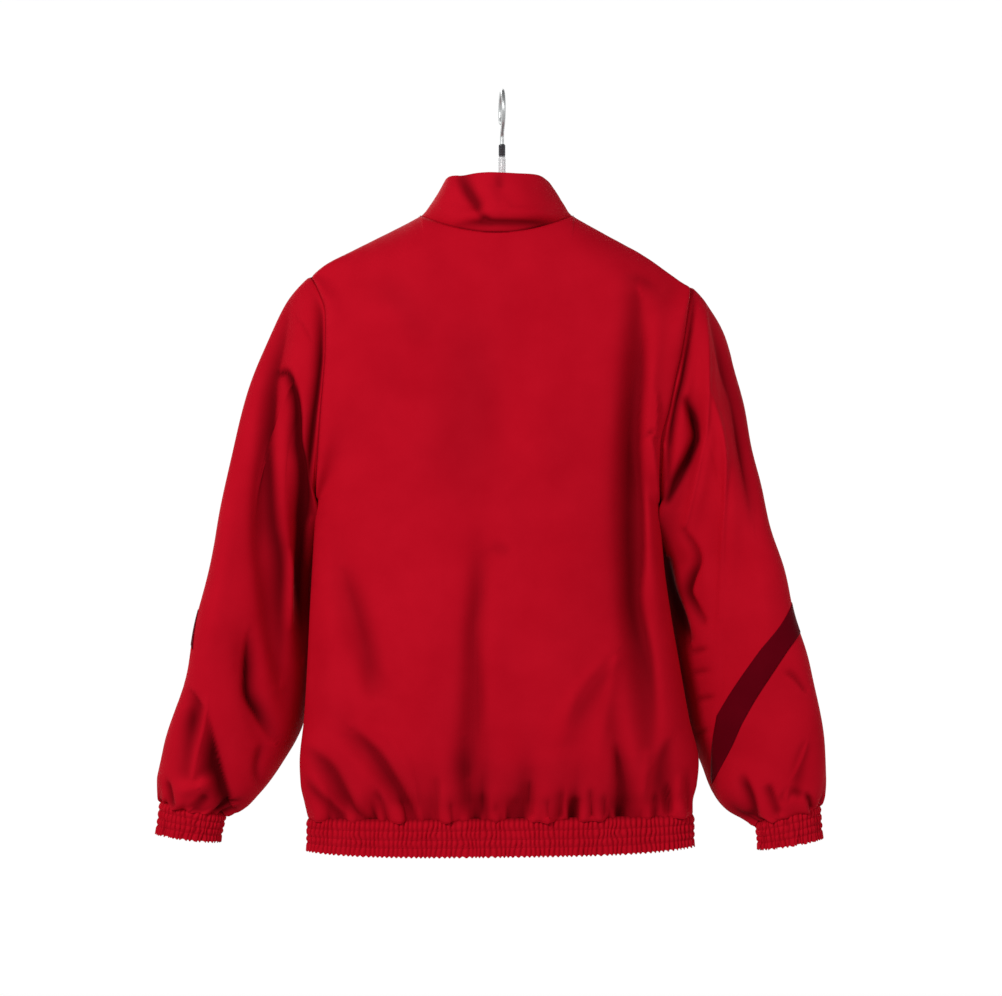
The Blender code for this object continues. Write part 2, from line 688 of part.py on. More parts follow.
def pull_back(points, place, towards):
    """Moves an edge column half a seam's gap towards its neighbour."""
    step = points[:, towards] - points[:, place]
    points[:, place] += step / np.linalg.norm(step, axis=1, keepdims=True) * SEAM / 2


def make_sleeve(side):
    points = sleeve_grid(side)
    normals = sleeve_normals(points)
    out = 1 if side == "left" else -1
    normals[0, :, 0] = out * np.minimum(out * normals[0, :, 0], 0)
    normals[0, 0] = (0, 0, 1)
    normals[0] /= np.linalg.norm(normals[0], axis=1, keepdims=True)
    normals[-1] = without(normals[-1], (0, 0, 1))
    count = points.shape[1]
    top = np.arange(FRONT_SEAM_COLUMN, BACK_SEAM_COLUMN + 1) % count
    under = np.arange(BACK_SEAM_COLUMN, count + FRONT_SEAM_COLUMN + 1) % count
    for kind, columns in (("top", top), ("under", under)):
        part = points[:, columns].copy()
        pull_back(part, 0, 1)
        pull_back(part, -1, -2)
        wall(f"sleeve_{kind}_{side}", part, normals[:, columns], RED)
    make_band(side, points, normals)


def make_band(side, points, normals):
    """The diagonal strip, cut from the top sleeve's own outer faces by two slanting planes."""
    first, last = BAND_COLUMNS[side]
    columns = np.arange(first, last + 1) % points.shape[1]
    places = points[:, columns].reshape(-1, 3)
    across = len(columns)
    strip = bmesh.new()
    vertices = [strip.verts.new(place) for place in places]
    for row in range(len(points) - 1):
        for col in range(across - 1):
            corner = row * across + col
            quad = (corner, corner + 1, corner + across + 1, corner + across)
            for triangle in two_triangles(places, quad):
                strip.faces.new([vertices[k] for k in triangle])
    strip.normal_update()
    if vertices[HEAD_STEPS * across].normal.dot(Vector(normals[HEAD_STEPS, columns[0]])) < 0:
        bmesh.ops.reverse_faces(strip, faces=strip.faces)
    run = Vector((BAND_RUN[side][0], 0, BAND_RUN[side][1])).normalized()
    up = Vector((-run.z, 0, run.x)) if side == "right" else Vector((run.z, 0, -run.x))
    upper = Vector((BAND_POINT[side][0], 0, BAND_POINT[side][1]))
    lower = upper - up * BAND_WIDTH
    for place, away in ((upper, up), (lower, -up)):
        geometry = list(strip.verts) + list(strip.edges) + list(strip.faces)
        bmesh.ops.bisect_plane(strip, geom=geometry, plane_co=place, plane_no=away, clear_outer=True)
    loose = [vertex for vertex in strip.verts if not vertex.link_faces]
    bmesh.ops.delete(strip, geom=loose, context="VERTS")
    bmesh.ops.triangulate(strip, faces=strip.faces)
    strip.normal_update()
    for vertex in strip.verts:
        vertex.co += vertex.normal * BAND_LIFT
    name = "sleeve_band_" + side
    mesh = bpy.data.meshes.new(name)
    strip.to_mesh(mesh)
    strip.free()
    band = add_object(name, mesh, cloth_material(name, MAROON))
    thicken = band.modifiers.new("Cloth", "SOLIDIFY")
    thicken.thickness = BAND_THICK
    thicken.offset = 1.0
    thicken.use_even_offset = False


# ---------------------------------------------------------------- gathered bands and collar


def ripple(count, gathers, height):
    """A row of gathers: ridges and valleys in turn, uneven by a slow wave."""
    place = np.arange(count)
    ridge = np.where(place % 2 == 0, 1.0, -1.0)
    sway = 1 + 0.25 * np.sin(place * 2 * math.pi * 5 / count) + 0.15 * np.sin(place * 2.3)
    return height * ridge * sway


def spaced(curve, count):
    """Points at even distances along a curve."""
    length = np.concatenate([[0], np.cumsum(np.linalg.norm(np.diff(curve, axis=0), axis=1))])
    at = np.linspace(0, length[-1], count)
    return np.stack([np.interp(at, length, curve[:, k]) for k in range(3)], axis=1)


def waist_loop():
    """The plan of the waistband at its top edge, from the zip's left side round to its right."""
    z = HEM_MIDDLE_Z
    pieces = []
    fine = np.sin(np.linspace(0, math.pi / 2, 90))
    for side, face, towards_middle in (
        ("left", "front", False),
        ("left", "back", True),
        ("right", "back", False),
        ("right", "front", True),
    ):
        out = 1 if side == "left" else -1
        gap = middle_gap(face)
        width = abs(edge_x(z, side) - centre_x(z))
        away = gap + fine * (width - gap)
        edge_y = SEAM / 2 if face == "back" else -SEAM / 2
        y = section_y(away / width, np.full_like(away, z), edge_y, face)
        x = centre_x(z) + out * away
        piece = np.stack([x, y, HEM_MIDDLE_Z + HEM_SLOPE * x], axis=1)
        pieces.append(piece[::-1] if towards_middle else piece)
    return np.concatenate([pieces[0], pieces[1][1:], pieces[2][1:], pieces[3][1:]])


def make_waistband():
    count = 2 * WAIST_GATHERS
    top = spaced(waist_loop(), count + 1)
    middle = np.array([CENTRE_HEM_X, 0, 0])
    share = np.abs(top[:, 0] - middle[0]) / np.max(np.abs(top[:, 0] - middle[0]))
    drop = WAIST_HEIGHT - WAIST_CORNER_LIFT * np.clip(share, 0, 1) ** 4
    upper = top - np.array([0, 0, SEAM])
    lower = top - np.stack([0 * drop, 0 * drop, drop], axis=1)
    points = np.stack([upper, lower])
    normals = grid_normals(points)
    if np.mean(np.sum(normals * (points - middle) * (1, 1, 0), axis=2)) < 0:
        normals = -normals
    normals = without(normals, (0, 0, 1))
    normals[:, 0] = normals[:, -1] = (0, -1, 0)
    bumps = ripple(count + 1, WAIST_GATHERS, WAIST_RIPPLE / 2)
    bumps[:3] = 0
    bumps[-3:] = 0
    wall("waistband", points, normals, RED, raised=np.stack([bumps * TOP_RIPPLE_SHARE, bumps]))


def make_cuff(side):
    """A gathered loop below the sleeve. Its top edge follows the sleeve's last ring."""
    count = 2 * CUFF_GATHERS
    turn = np.arange(count) * 2 * math.pi / count
    top = ring_point(side, len(SLEEVE_RINGS[side]) - 1.0, turn)
    (outer_x, outer_z), (inner_x, inner_z) = CUFF_BOTTOM[side]
    cos = np.cos(turn)
    bottom = np.stack(
        [
            (outer_x + inner_x) / 2 + (outer_x - inner_x) / 2 * cos,
            CUFF_Y + CUFF_HALF_DEPTH * np.sin(turn),
            (outer_z + inner_z) / 2 + (outer_z - inner_z) / 2 * cos,
        ],
        axis=-1,
    )
    way = (bottom - top).mean(axis=0)
    way /= np.linalg.norm(way)
    points = np.stack([top + way * 2 * SEAM, bottom])
    normals = without(sleeve_normals(points), (0, 0, 1))
    bumps = ripple(count, CUFF_GATHERS, CUFF_RIPPLE / 2)
    raised = np.stack([bumps * TOP_RIPPLE_SHARE, bumps])
    wall("cuff_" + side, points, normals, RED, raised=raised, closed=True)


def collar_point(turn, share):
    """A point of the collar, share of the way from the neck seam to its top edge."""
    foot = neck_curve(turn) + np.array([0, 0, SEAM])
    reach = np.where(np.cos(turn) > 0, COLLAR_TOP_BACK_Y - NECK_Y, NECK_Y - COLLAR_TOP_FRONT_Y)
    front = ((1 - np.cos(turn)) / 2) ** 3
    head = np.stack(
        [
            NECK_X + COLLAR_TOP_HALF_WIDTH * np.sin(turn),
            NECK_Y + reach * np.cos(turn),
            COLLAR_TOP_BACK_Z - COLLAR_SIDE_DROP * np.sin(turn) ** 2 - COLLAR_TOP_FRONT_DROP * front,
        ],
        axis=-1,
    )
    bulge = COLLAR_BULGE * math.sin(math.pi * share) * np.clip(1 + np.cos(turn), 0, 1)
    out = np.stack([np.sin(turn), np.cos(turn), 0 * turn], axis=-1)
    return foot * (1 - share) + head * share + out * bulge[..., None]


def collar_turns():
    """The neck seam's own columns, from the zip's left side round the back to its right side."""
    front = math.pi - np.arcsin(neck_shares("front"))
    back = np.arcsin(neck_shares("back"))[-2::-1]
    left = np.concatenate([front, back])
    return np.concatenate([left, -left[-2::-1]])


def collar_grid():
    turns = collar_turns()
    points = np.array([collar_point(turns, share) for share in COLLAR_ROWS])
    for place, out in ((0, 1), (-1, -1)):
        points[:, place, 0] = NECK_X + out * ZIP_GAP
    normals = grid_normals(points)
    centre = np.array([NECK_X, NECK_Y, 0])
    if np.mean(np.sum(normals * (points - centre) * (1, 1, 0), axis=2)) < 0:
        normals = -normals
    normals[-1] = without(normals[-1], (0, 0, 1))
    for place in (0, -1):
        normals[:, place] = without(normals[:, place], (1, 0, 0))
    return points, normals


def make_collar():
    points, normals = collar_grid()
    wall("collar", points, normals, RED)


# ---------------------------------------------------------------- zip


def zip_edge(side):
    """The two columns beside the zip, with their normals, down the collar, front and waistband."""
    collar, collar_normals = collar_grid()
    front, front_normals = front_grid(side)
    place, beside = (0, 1) if side == "left" else (-1, -2)
    foot = front[-1:, :2] - np.array([0, 0, WAIST_HEIGHT])
    points = np.concatenate([collar[:-1, [place, beside]], front[:, :2], foot])
    collar_part = collar_normals[:-1, [place, beside]]
    normals = np.concatenate([collar_part, front_normals[:, :2], front_normals[-1:, :2]])
    return points, normals


def cut_rows(grid, top_z, bottom_z):
    """The part of a grid of rows between two heights of its first column."""
    heights = grid[:, 0, 2]
    inside = (heights < top_z - 0.001) & (heights > bottom_z + 0.001)
    wanted = np.concatenate([[top_z], heights[inside], [bottom_z]])
    order = np.argsort(heights)
    flat = grid[order].reshape(len(order), -1)
    cut = [np.interp(wanted, heights[order], flat[:, k]) for k in range(flat.shape[1])]
    return np.stack(cut, axis=1).reshape(len(wanted), *grid.shape[1:])


def zip_strip(top_z, bottom_z):
    """A strip as wide as the chain, down the middle of the zip, with its normals."""
    points, normals = zip_edge("left")
    both = cut_rows(np.concatenate([points[:, :1], normals[:, :1]], axis=2), top_z, bottom_z)
    middle = both[:, 0, :3] - np.array([ZIP_GAP, 0, 0])
    out = without(both[:, 0, 3:], (1, 0, 0))
    side_step = np.array([CHAIN_HALF_WIDTH, 0, 0])
    return np.stack([middle - side_step, middle + side_step], axis=1), np.stack([out, out], axis=1)


def make_tape(side, top_z, bottom_z):
    """A tape that lies a seam's gap behind the collar, front and waistband, beside the chain."""
    points, normals = zip_edge(side)
    both = cut_rows(np.concatenate([points, normals], axis=2), top_z, bottom_z)
    inner = both[..., :3] - both[..., 3:] * WALL
    width = np.abs(inner[:, 1, 0] - inner[:, 0, 0])[:, None]
    way = (inner[:, 1] - inner[:, 0]) / width
    edges = [inner[:, 0] + way * (reach - ZIP_GAP) for reach in (TAPE_INNER_X, TAPE_OUTER_X)]
    grid = np.stack(edges, axis=1)
    out = np.stack([both[:, 0, 3:], both[:, 0, 3:]], axis=1)
    wall("zip_tape_" + side, grid, out, RED, thickness=TAPE_THICK, lift=-2 * SEAM)


def make_zip():
    points, _ = zip_edge("left")
    top = points[0, 0, 2]
    bottom = points[-1, 0, 2]
    grid, out = zip_strip(CHAIN_TOP_Z, bottom + ZIP_BOX_HEIGHT + SEAM)
    wall("zip_chain", grid, out, DARK_STEEL, thickness=CHAIN_THICK, lift=CHAIN_PROUD)
    grid, out = zip_strip(bottom + ZIP_BOX_HEIGHT, bottom)
    wall("zip_box", grid, out, DARK_STEEL, thickness=CHAIN_THICK + CHAIN_PROUD, lift=2 * CHAIN_PROUD)
    for side in ("left", "right"):
        make_tape(side, top - TAPE_END, bottom + TAPE_END)
    make_slider()


def slider_frame():
    """A matrix with local X across the zip, local Y out of the jacket, local Z up the zip."""
    strip, ways = zip_strip(SLIDER_Z, SLIDER_Z - 0.02)
    line = strip.mean(axis=1)
    up = Vector(line[0] - line[-1]).normalized()
    across = Vector((1, 0, 0))
    out = up.cross(across).normalized()
    if out.dot(Vector(ways[0, 0])) < 0:
        out = -out
        across = -across
    turn = Matrix((across, out, up)).transposed().to_4x4()
    return Matrix.Translation(Vector(line[0])) @ turn


def box(name, low, high):
    sizes = [(low[k], high[k]) for k in range(3)]
    vertices = [(x, y, z) for x in sizes[0] for y in sizes[1] for z in sizes[2]]
    faces = [(0, 1, 3, 2), (4, 6, 7, 5), (0, 4, 5, 1), (2, 3, 7, 6), (0, 2, 6, 4), (1, 5, 7, 3)]
    return mesh_of(name, vertices, faces)


def add_helper(name, mesh):
    helper = bpy.data.objects.new(name, mesh)
    bpy.context.scene.collection.objects.link(helper)
    helper.hide_render = True
    helper.display_type = "WIRE"
    return helper


def combine(target, helper, operation):
    step = target.modifiers.new(helper.name, "BOOLEAN")
    step.operation = operation
    step.object = helper
    step.solver = "EXACT"


def make_slider():
    frame = slider_frame()
    material = cloth_material("zip_slider", DARK_STEEL, 0.35, 1.0)
    face = CHAIN_PROUD + SEAM
    back = -(WALL + 2 * SEAM + TAPE_THICK + SEAM)
    wide = SLIDER_HALF_WIDTH
    tall = SLIDER_HALF_LENGTH
    thin = CROWN_HALF_WIDTH
    root = face + PLATE - SINK
    bar = CROWN_REACH - CROWN_WIRE
    front_plate = box("zip_slider", (-wide, face, -tall), (wide, face + PLATE, tall))
    slider = add_object("zip_slider", front_plate, material)
    slider.matrix_world = frame
    boxes = {
        "slider_back_plate": ((-wide, back - PLATE, -tall), (wide, back, tall)),
        "slider_post": ((-thin, back - SINK, POST_BOTTOM), (thin, face + SINK, POST_TOP)),
        "crown_foot": ((-thin, root, CROWN_BOTTOM), (thin, CROWN_REACH, CROWN_BOTTOM + PLATE)),
        "crown_head": ((-thin, root, CROWN_TOP - PLATE), (thin, CROWN_REACH, CROWN_TOP)),
        "crown_bar": ((-thin, bar, CROWN_BOTTOM), (thin, CROWN_REACH, CROWN_TOP)),
    }
    for name, (low, high) in boxes.items():
        helper = add_helper(name, box(name, low, high))
        helper.matrix_world = frame
        combine(slider, helper, "UNION")
    make_pull(frame)


def make_pull(frame):
    """The pull tab, which turns about a bar through the slider's crown. Its origin is on that axis."""
    outline = []
    half = PULL_HALF_WIDTH
    foot = -PULL_LENGTH + half
    outline.extend([(half, PULL_HALF_THICK), (-half, PULL_HALF_THICK)])
    for step in range(PULL_END_STEPS + 1):
        turn = math.pi + step * math.pi / PULL_END_STEPS
        outline.append((half * math.cos(turn), foot + half * math.sin(turn)))
    count = len(outline)
    vertices = [(x, side, z) for side in (-PULL_HALF_THICK, PULL_HALF_THICK) for x, z in outline]
    faces = [tuple(range(count)), tuple(range(2 * count - 1, count - 1, -1))]
    faces.extend((k, (k + 1) % count, (k + 1) % count + count, k + count) for k in range(count))
    mesh = mesh_of("zip_pull", vertices, faces)
    pull = add_object("zip_pull", mesh, cloth_material("zip_pull", DARK_STEEL, 0.35, 1.0))
    axis = Matrix.Translation((0, PULL_AXIS_OUT, PULL_AXIS_UP))
    pull.matrix_world = frame @ axis
    through = 2 * PULL_HALF_THICK
    low = (-PULL_WINDOW_HALF_WIDTH, -through, -PULL_WINDOW_LENGTH)
    high = (PULL_WINDOW_HALF_WIDTH, through, -PULL_HALF_THICK)
    window = add_helper("pull_window", box("pull_window", low, high))
    window.matrix_world = frame @ axis
    combine(pull, window, "DIFFERENCE")


# ---------------------------------------------------------------- hanger


def tube(name, route, radius, color, metallic):
    curve = bpy.data.curves.new(name, "CURVE")
    curve.dimensions = "3D"
    curve.bevel_depth = radius
    curve.bevel_resolution = 3
    curve.use_fill_caps = True
    spline = curve.splines.new("POLY")
    spline.points.add(len(route) - 1)
    for point, place in zip(spline.points, route):
        point.co = (*place, 1)
    curve.materials.append(cloth_material(name, color, 0.25, metallic))
    body = bpy.data.objects.new(name, curve)
    bpy.context.scene.collection.objects.link(body)
    return body


def hook_route():
    """From the hook's tip over the rail, back under to the middle, and down the shank."""
    radius = HOOK_RADIUS
    centre_z = HOOK_WIRE / 2 - radius
    flat = []
    for step in range(HOOK_STEPS + 1):
        turn = math.radians(HOOK_TIP_TURN + (HOOK_FOOT_TURN - HOOK_TIP_TURN) * step / HOOK_STEPS)
        flat.append((radius * math.cos(turn), centre_z + radius * math.sin(turn)))
    last = np.array(flat[-1])
    before = np.array(flat[-2])
    shank = np.array((0.0, HOOK_SHANK_TOP_Z))
    leave = (last - before) / np.linalg.norm(last - before) * HOOK_LEAVE
    arrive = np.array((0.0, -SHANK_ARRIVE))
    for step in range(1, SHANK_STEPS + 1):
        t = step / SHANK_STEPS
        place = (
            (1 + 2 * t) * (1 - t) ** 2 * last
            + t * (1 - t) ** 2 * leave
            + t**2 * (3 - 2 * t) * shank
            + t**2 * (t - 1) * arrive
        )
        flat.append(tuple(place))
    flat.append((0.0, FERRULE_TOP_Z + SEAM))
    yaw = math.radians(HOOK_YAW)
    return [(-s * math.cos(yaw), s * math.sin(yaw), z) for s, z in flat]


def turned(name, profile, sides, color, metallic):
    """A round solid about Z from (radius, height) pairs, top to bottom."""
    vertices = []
    for radius, height in profile:
        for k in range(sides):
            turn = 2 * math.pi * k / sides
            vertices.append((radius * math.cos(turn), radius * math.sin(turn), height))
    faces = [tuple(range(sides)), tuple(range(len(vertices) - 1, len(vertices) - 1 - sides, -1))]
    for level in range(len(profile) - 1):
        for k in range(sides):
            low = level * sides + k
            beside = level * sides + (k + 1) % sides
            faces.append((low, beside, beside + sides, low + sides))
    material = cloth_material(name, color, 0.3, metallic)
    return add_object(name, mesh_of(name, vertices, faces), material)


def arm_top(x):
    """The top line of the hanger's arms: under the shoulder seams, and bare inside the neck."""
    side = "left" if x > NECK_X else "right"
    line = column(SHOULDER_LINE, 1 if side == "left" else 2)
    away = abs(x - NECK_X)
    under = float(curve_at(column(SHOULDER_LINE, 0), line, away)) - WALL - ARM_CLEARANCE
    if away >= NECK_HALF_WIDTH:
        return under - NECK_SIDE_ROOM * max(0.0, 1 - (away - NECK_HALF_WIDTH) / NECK_SIDE_RUN)
    neck_side = NECK_SIDE_Z - WALL - ARM_CLEARANCE - NECK_SIDE_ROOM
    share = away / NECK_HALF_WIDTH
    return HANGER_MIDDLE_Z + (neck_side - HANGER_MIDDLE_Z) * share**ARM_SAG_POWER


def make_hanger():
    vertices = []
    for x in np.linspace(ARM_REACH_RIGHT, ARM_REACH_LEFT, ARM_RINGS):
        reach = ARM_REACH_LEFT if x > 0 else ARM_REACH_RIGHT
        slim = 1 - ARM_END_SLIM * abs(x / reach) ** ARM_END_POWER
        half_height = ARM_HALF_HEIGHT * slim
        half_depth = ARM_HALF_DEPTH * slim
        away = abs(x - NECK_X)
        middle_y = NECK_Y + (SHOULDER_Y - NECK_Y) * np.clip((away - NECK_HALF_WIDTH) / 0.1, 0, 1)
        if away < NECK_HALF_WIDTH:
            middle_y = NECK_Y * (away / NECK_HALF_WIDTH) ** 2
        middle_z = arm_top(x) - half_height
        for k in range(ARM_SIDES):
            turn = 2 * math.pi * k / ARM_SIDES
            y = middle_y + half_depth * math.sin(turn)
            vertices.append((x, y, middle_z + half_height * math.cos(turn)))
    sides = ARM_SIDES
    faces = [tuple(range(sides)), tuple(range(len(vertices) - 1, len(vertices) - 1 - sides, -1))]
    for ring in range(ARM_RINGS - 1):
        for k in range(sides):
            low = ring * sides + k
            beside = ring * sides + (k + 1) % sides
            faces.append((low, beside, beside + sides, low + sides))
    material = cloth_material("hanger", CLEAR, 0.15)
    hanger = add_object("hanger", mesh_of("hanger", vertices, faces), material)
    post_profile = (
        (NECK_POST_RADIUS, FERRULE_BOTTOM_Z - SEAM),
        (NECK_POST_RADIUS, HANGER_MIDDLE_Z + NECK_POST_FLARE),
        (NECK_POST_FOOT_RADIUS, HANGER_MIDDLE_Z - NECK_POST_SINK),
    )
    post = turned("hanger_post", post_profile, 16, CLEAR, 0.0)
    post.hide_render = True
    post.display_type = "WIRE"
    combine(hanger, post, "UNION")
    ferrule_profile = (
        (FERRULE_TOP_RADIUS, FERRULE_TOP_Z),
        (FERRULE_RADIUS, FERRULE_TOP_Z - FERRULE_ROUND),
        (FERRULE_RADIUS, FERRULE_BOTTOM_Z + FERRULE_ROUND),
        (FERRULE_FOOT_RADIUS, FERRULE_BOTTOM_Z),
    )
    turned("hanger_ferrule", ferrule_profile, 16, DARK_STEEL, 1.0)
    tube("hanger_hook", hook_route(), HOOK_WIRE / 2, STEEL, 1.0)


def main():
    for old in list(bpy.data.objects):
        bpy.data.objects.remove(old, do_unlink=True)
    make_back()
    make_fronts()
    for side in ("left", "right"):
        make_sleeve(side)
        make_cuff(side)
    make_collar()
    make_waistband()
    make_zip()
    make_hanger()


main()
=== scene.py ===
"""A track jacket on a clothes hanger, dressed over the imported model. Metres, +Z up.

The jacket's back faces +Y, where the camera stands. +X is the wearer's left. Each cloth piece is a
grid of points on its solid's form: rows run down the jacket and columns run round it. Creases are
placed by pixels of the 1002 x 996 picture.
"""

import math

import bmesh
import bpy
import numpy as np
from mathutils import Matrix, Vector


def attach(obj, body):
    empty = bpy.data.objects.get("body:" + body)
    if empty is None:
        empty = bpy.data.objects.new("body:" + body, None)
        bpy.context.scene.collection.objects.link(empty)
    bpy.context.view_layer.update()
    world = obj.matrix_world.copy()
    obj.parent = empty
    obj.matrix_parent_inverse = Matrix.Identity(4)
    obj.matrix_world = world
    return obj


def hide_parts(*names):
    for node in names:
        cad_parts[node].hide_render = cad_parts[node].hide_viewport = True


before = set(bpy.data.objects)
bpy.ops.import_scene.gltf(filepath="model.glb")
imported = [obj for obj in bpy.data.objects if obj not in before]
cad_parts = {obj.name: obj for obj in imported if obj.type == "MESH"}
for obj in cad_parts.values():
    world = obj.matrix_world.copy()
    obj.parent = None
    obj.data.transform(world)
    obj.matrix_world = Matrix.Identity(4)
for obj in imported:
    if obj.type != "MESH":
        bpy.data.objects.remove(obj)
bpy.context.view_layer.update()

# Which way +X or +Y each side or face lies, and its column in the tables
SIGN = {"left": 1, "right": -1, "back": 1, "front": -1}
COLUMN = {"left": 1, "right": 2, "back": 1, "front": 2}

# The picture: its middle pixel, metres a pixel at the hanger, and where the camera stands
PICTURE = (1002, 996)
METRES_A_PIXEL = 0.00112
ORIGIN_PIXEL = (502.0, 93.0)
CAMERA_AWAY = 3.0
CAMERA_X = 0.0011
CAMERA_Z = -0.4536
SENSOR = 36.0

# Cloth
WALL = 0.0011
TUCK = 0.0013
TUCK_WIDTH = 0.0021
FLANGE_IN = 0.0026
FLANGE_RUN = 0.0040

# Neck seam, from above an ellipse round the hanger's neck
NECK_X = 0.006
NECK_Y = -0.012
NECK_HALF_WIDTH = 0.086
NECK_BACK_REACH = 0.060
NECK_FRONT_REACH = 0.054
NECK_SIDE_Z = -0.1362
NECK_BACK_DROP = 0.0234
NECK_FRONT_DROP = 0.077

# Collar
COLLAR_TOP_HALF_WIDTH = 0.0600
COLLAR_TOP_BACK_Y = 0.0450
COLLAR_TOP_FRONT_Y = -0.0600
COLLAR_TOP_BACK_Z = -0.0940
COLLAR_TOP_FRONT_DROP = 0.0560
COLLAR_SIDE_DROP = 0.0010
COLLAR_BULGE = 0.0030
COLLAR_ROLL = 0.0030
COLLAR_HOLLOW = 0.0040
COLLAR_WALL = 0.0020
COLLAR_ROWS = 44

# Shoulders
SHOULDER_Y = -0.005
SHOULDER_ROUND = 0.055
SHOULDER_LINE = (
    # distance from the middle of the neck, left height, right height
    (0.086, -0.1362, -0.1362),
    (0.110, -0.1490, -0.1500),
    (0.132, -0.1600, -0.1622),
    (0.164, -0.1760, -0.1800),
    (0.192, -0.1905, -0.1995),
    (0.210, -0.2050, -0.2120),
    (0.219, -0.2125, -0.2165),
)

# Armholes
ARM_TOP_Z = {"left": -0.2050, "right": -0.2165}
UNDERARM_Z = {"left": -0.4550, "right": -0.4600}
ARMHOLE_BACK_REACH = 0.045
ARMHOLE_FRONT_REACH = -0.045
ARM_STEPS = 88
SOFT_ARMHOLE_POWER = 2.0
SHOULDER_TIP_POWER = 8

# Body
CENTRE_TOP_X = 0.006
CENTRE_HEM_X = 0.0022
CENTRE_TOP_Z = -0.20
HEM_MIDDLE_Z = -0.8118
HEM_SLOPE = -0.0107
SECTION_POWER = 2.6
EDGE_LINE = (
    # height, left edge, right edge of the panels as seen from behind
    (-0.205, 0.2155, -0.2125),
    (-0.220, 0.2070, -0.2118),
    (-0.250, 0.1968, -0.2070),
    (-0.290, 0.1962, -0.2000),
    (-0.320, 0.1980, -0.1928),
    (-0.355, 0.2010, -0.1856),
    (-0.395, 0.2043, -0.1765),
    (-0.425, 0.2067, -0.1758),
    (-0.466, 0.2100, -0.1781),
    (-0.530, 0.2139, -0.1831),
    (-0.580, 0.2167, -0.1900),
    (-0.640, 0.2195, -0.2003),
    (-0.700, 0.2231, -0.2110),
    (-0.750, 0.2280, -0.2218),
    (-0.775, 0.2268, -0.2195),
    (-0.795, 0.2225, -0.2150),
    (-0.817, 0.2173, -0.2152),
)
BODY_DEPTH = (
    # height, reach of the back, reach of the front
    (-0.130, 0.050, 0.044),
    (-0.200, 0.056, 0.058),
    (-0.280, 0.062, 0.068),
    (-0.400, 0.067, 0.076),
    (-0.550, 0.073, 0.082),
    (-0.680, 0.076, 0.084),
    (-0.735, 0.073, 0.079),
    (-0.775, 0.060, 0.065),
    (-0.800, 0.046, 0.049),
    (-0.818, 0.039, 0.041),
)
NECK_STEPS = 30
SHOULDER_STEPS = 48
BELOW_STEPS = 120
EDGE_CALM = 0.12
SIDE_PUCKER = 0.00035
TOP_PUCKER = 0.00025
SLEEVE_PUCKER = 0.0004
CREASE_LEAN = 0.8
CREASE_END = 0.35
CREASE_POWER = 1.8
BACK_CREASE_GAIN = 1.8
FRONT_CREASE_GAIN = 1.4
SLEEVE_CREASE_GAIN = 2.4
SEAM_CALM = 0.050
HEM_CALM = 0.06

# Waistband and cuffs
WAIST_HEIGHT = 0.0385
WAIST_CORNER_LIFT = 0.005
WAIST_GATHERS = 168
CUFF_GATHERS = 42
GATHER_STEPS = 8
GATHER_HEIGHT = 0.0025
BAND_ROWS = 27
STITCH_ROWS = (0.24, 0.50, 0.73)

# Sleeves: rings from the outer end of the ring to its inner end, seen from behind
SLEEVE_RINGS = {
    "left": (
        # outer x, outer z, inner x, inner z, middle y, half depth, lean of the inner end
        (0.3185, -0.5000, 0.2068, -0.5350, -0.016, 0.046, 0.034),
        (0.3295, -0.5450, 0.2092, -0.5800, -0.016, 0.047, 0.034),
        (0.3397, -0.5900, 0.2114, -0.6220, -0.016, 0.048, 0.034),
        (0.3505, -0.6400, 0.2158, -0.6680, -0.016, 0.048, 0.030),
        (0.3646, -0.6900, 0.2262, -0.7120, -0.016, 0.048, 0.022),
        (0.3790, -0.7350, 0.2480, -0.7500, -0.015, 0.046, 0.014),
        (0.3876, -0.7700, 0.2700, -0.7830, -0.014, 0.041, 0.008),
        (0.3868, -0.7880, 0.2920, -0.8030, -0.013, 0.034, 0.004),
        (0.3842, -0.7950, 0.3105, -0.8105, -0.012, 0.027, 0.000),
    ),
    "right": (
        (-0.3033, -0.5000, -0.1755, -0.5350, -0.016, 0.046, 0.034),
        (-0.3164, -0.5450, -0.1820, -0.5800, -0.016, 0.047, 0.034),
        (-0.3270, -0.5900, -0.1893, -0.6220, -0.016, 0.048, 0.034),
        (-0.3422, -0.6400, -0.1985, -0.6680, -0.016, 0.048, 0.032),
        (-0.3550, -0.6900, -0.2085, -0.7120, -0.018, 0.048, 0.030),
        (-0.3618, -0.7350, -0.2245, -0.7500, -0.020, 0.046, 0.024),
        (-0.3650, -0.7680, -0.2360, -0.7830, -0.016, 0.041, 0.012),
        (-0.3630, -0.7860, -0.2580, -0.8080, -0.013, 0.034, 0.006),
        (-0.3575, -0.7990, -0.2850, -0.8190, -0.012, 0.027, 0.000),
    ),
}
SLEEVE_TWIST = {
    "left": (24, 36, 46, 56, 64, 70, 76, 80, 80),
    "right": (-6, 3, 8, 19, 34, 56, 76, 84, 86),
}
SLEEVE_SQUARENESS = 0.90
HEAD_ROWS = 64
RING_ROWS = (15, 15, 16, 16, 15, 12, 9, 7)
HEAD_LEAVE_TOP = (0.180, 0.0, -0.150)
HEAD_LEAVE_BOTTOM = (-0.030, -0.020, -0.120)
HEAD_LEAVE_SIDE = (0.140, 0.0, -0.120)
HEAD_ARRIVE = 4.6
HEAD_LOOK_AHEAD = 0.3
BACK_SEAM_SHARE = 6 / 24
FRONT_SEAM_SHARE = -8 / 24
SEAM_GROOVES = {"left": (0.0, 0.5), "right": (0.35, 0.5)}
CUFF_BOTTOM = {
    "left": ((0.3886, -0.8300), (0.3170, -0.8395)),
    "right": ((-0.3600, -0.8350), (-0.2880, -0.8480)),
}
CUFF_Y = -0.012
CUFF_HALF_DEPTH = 0.027

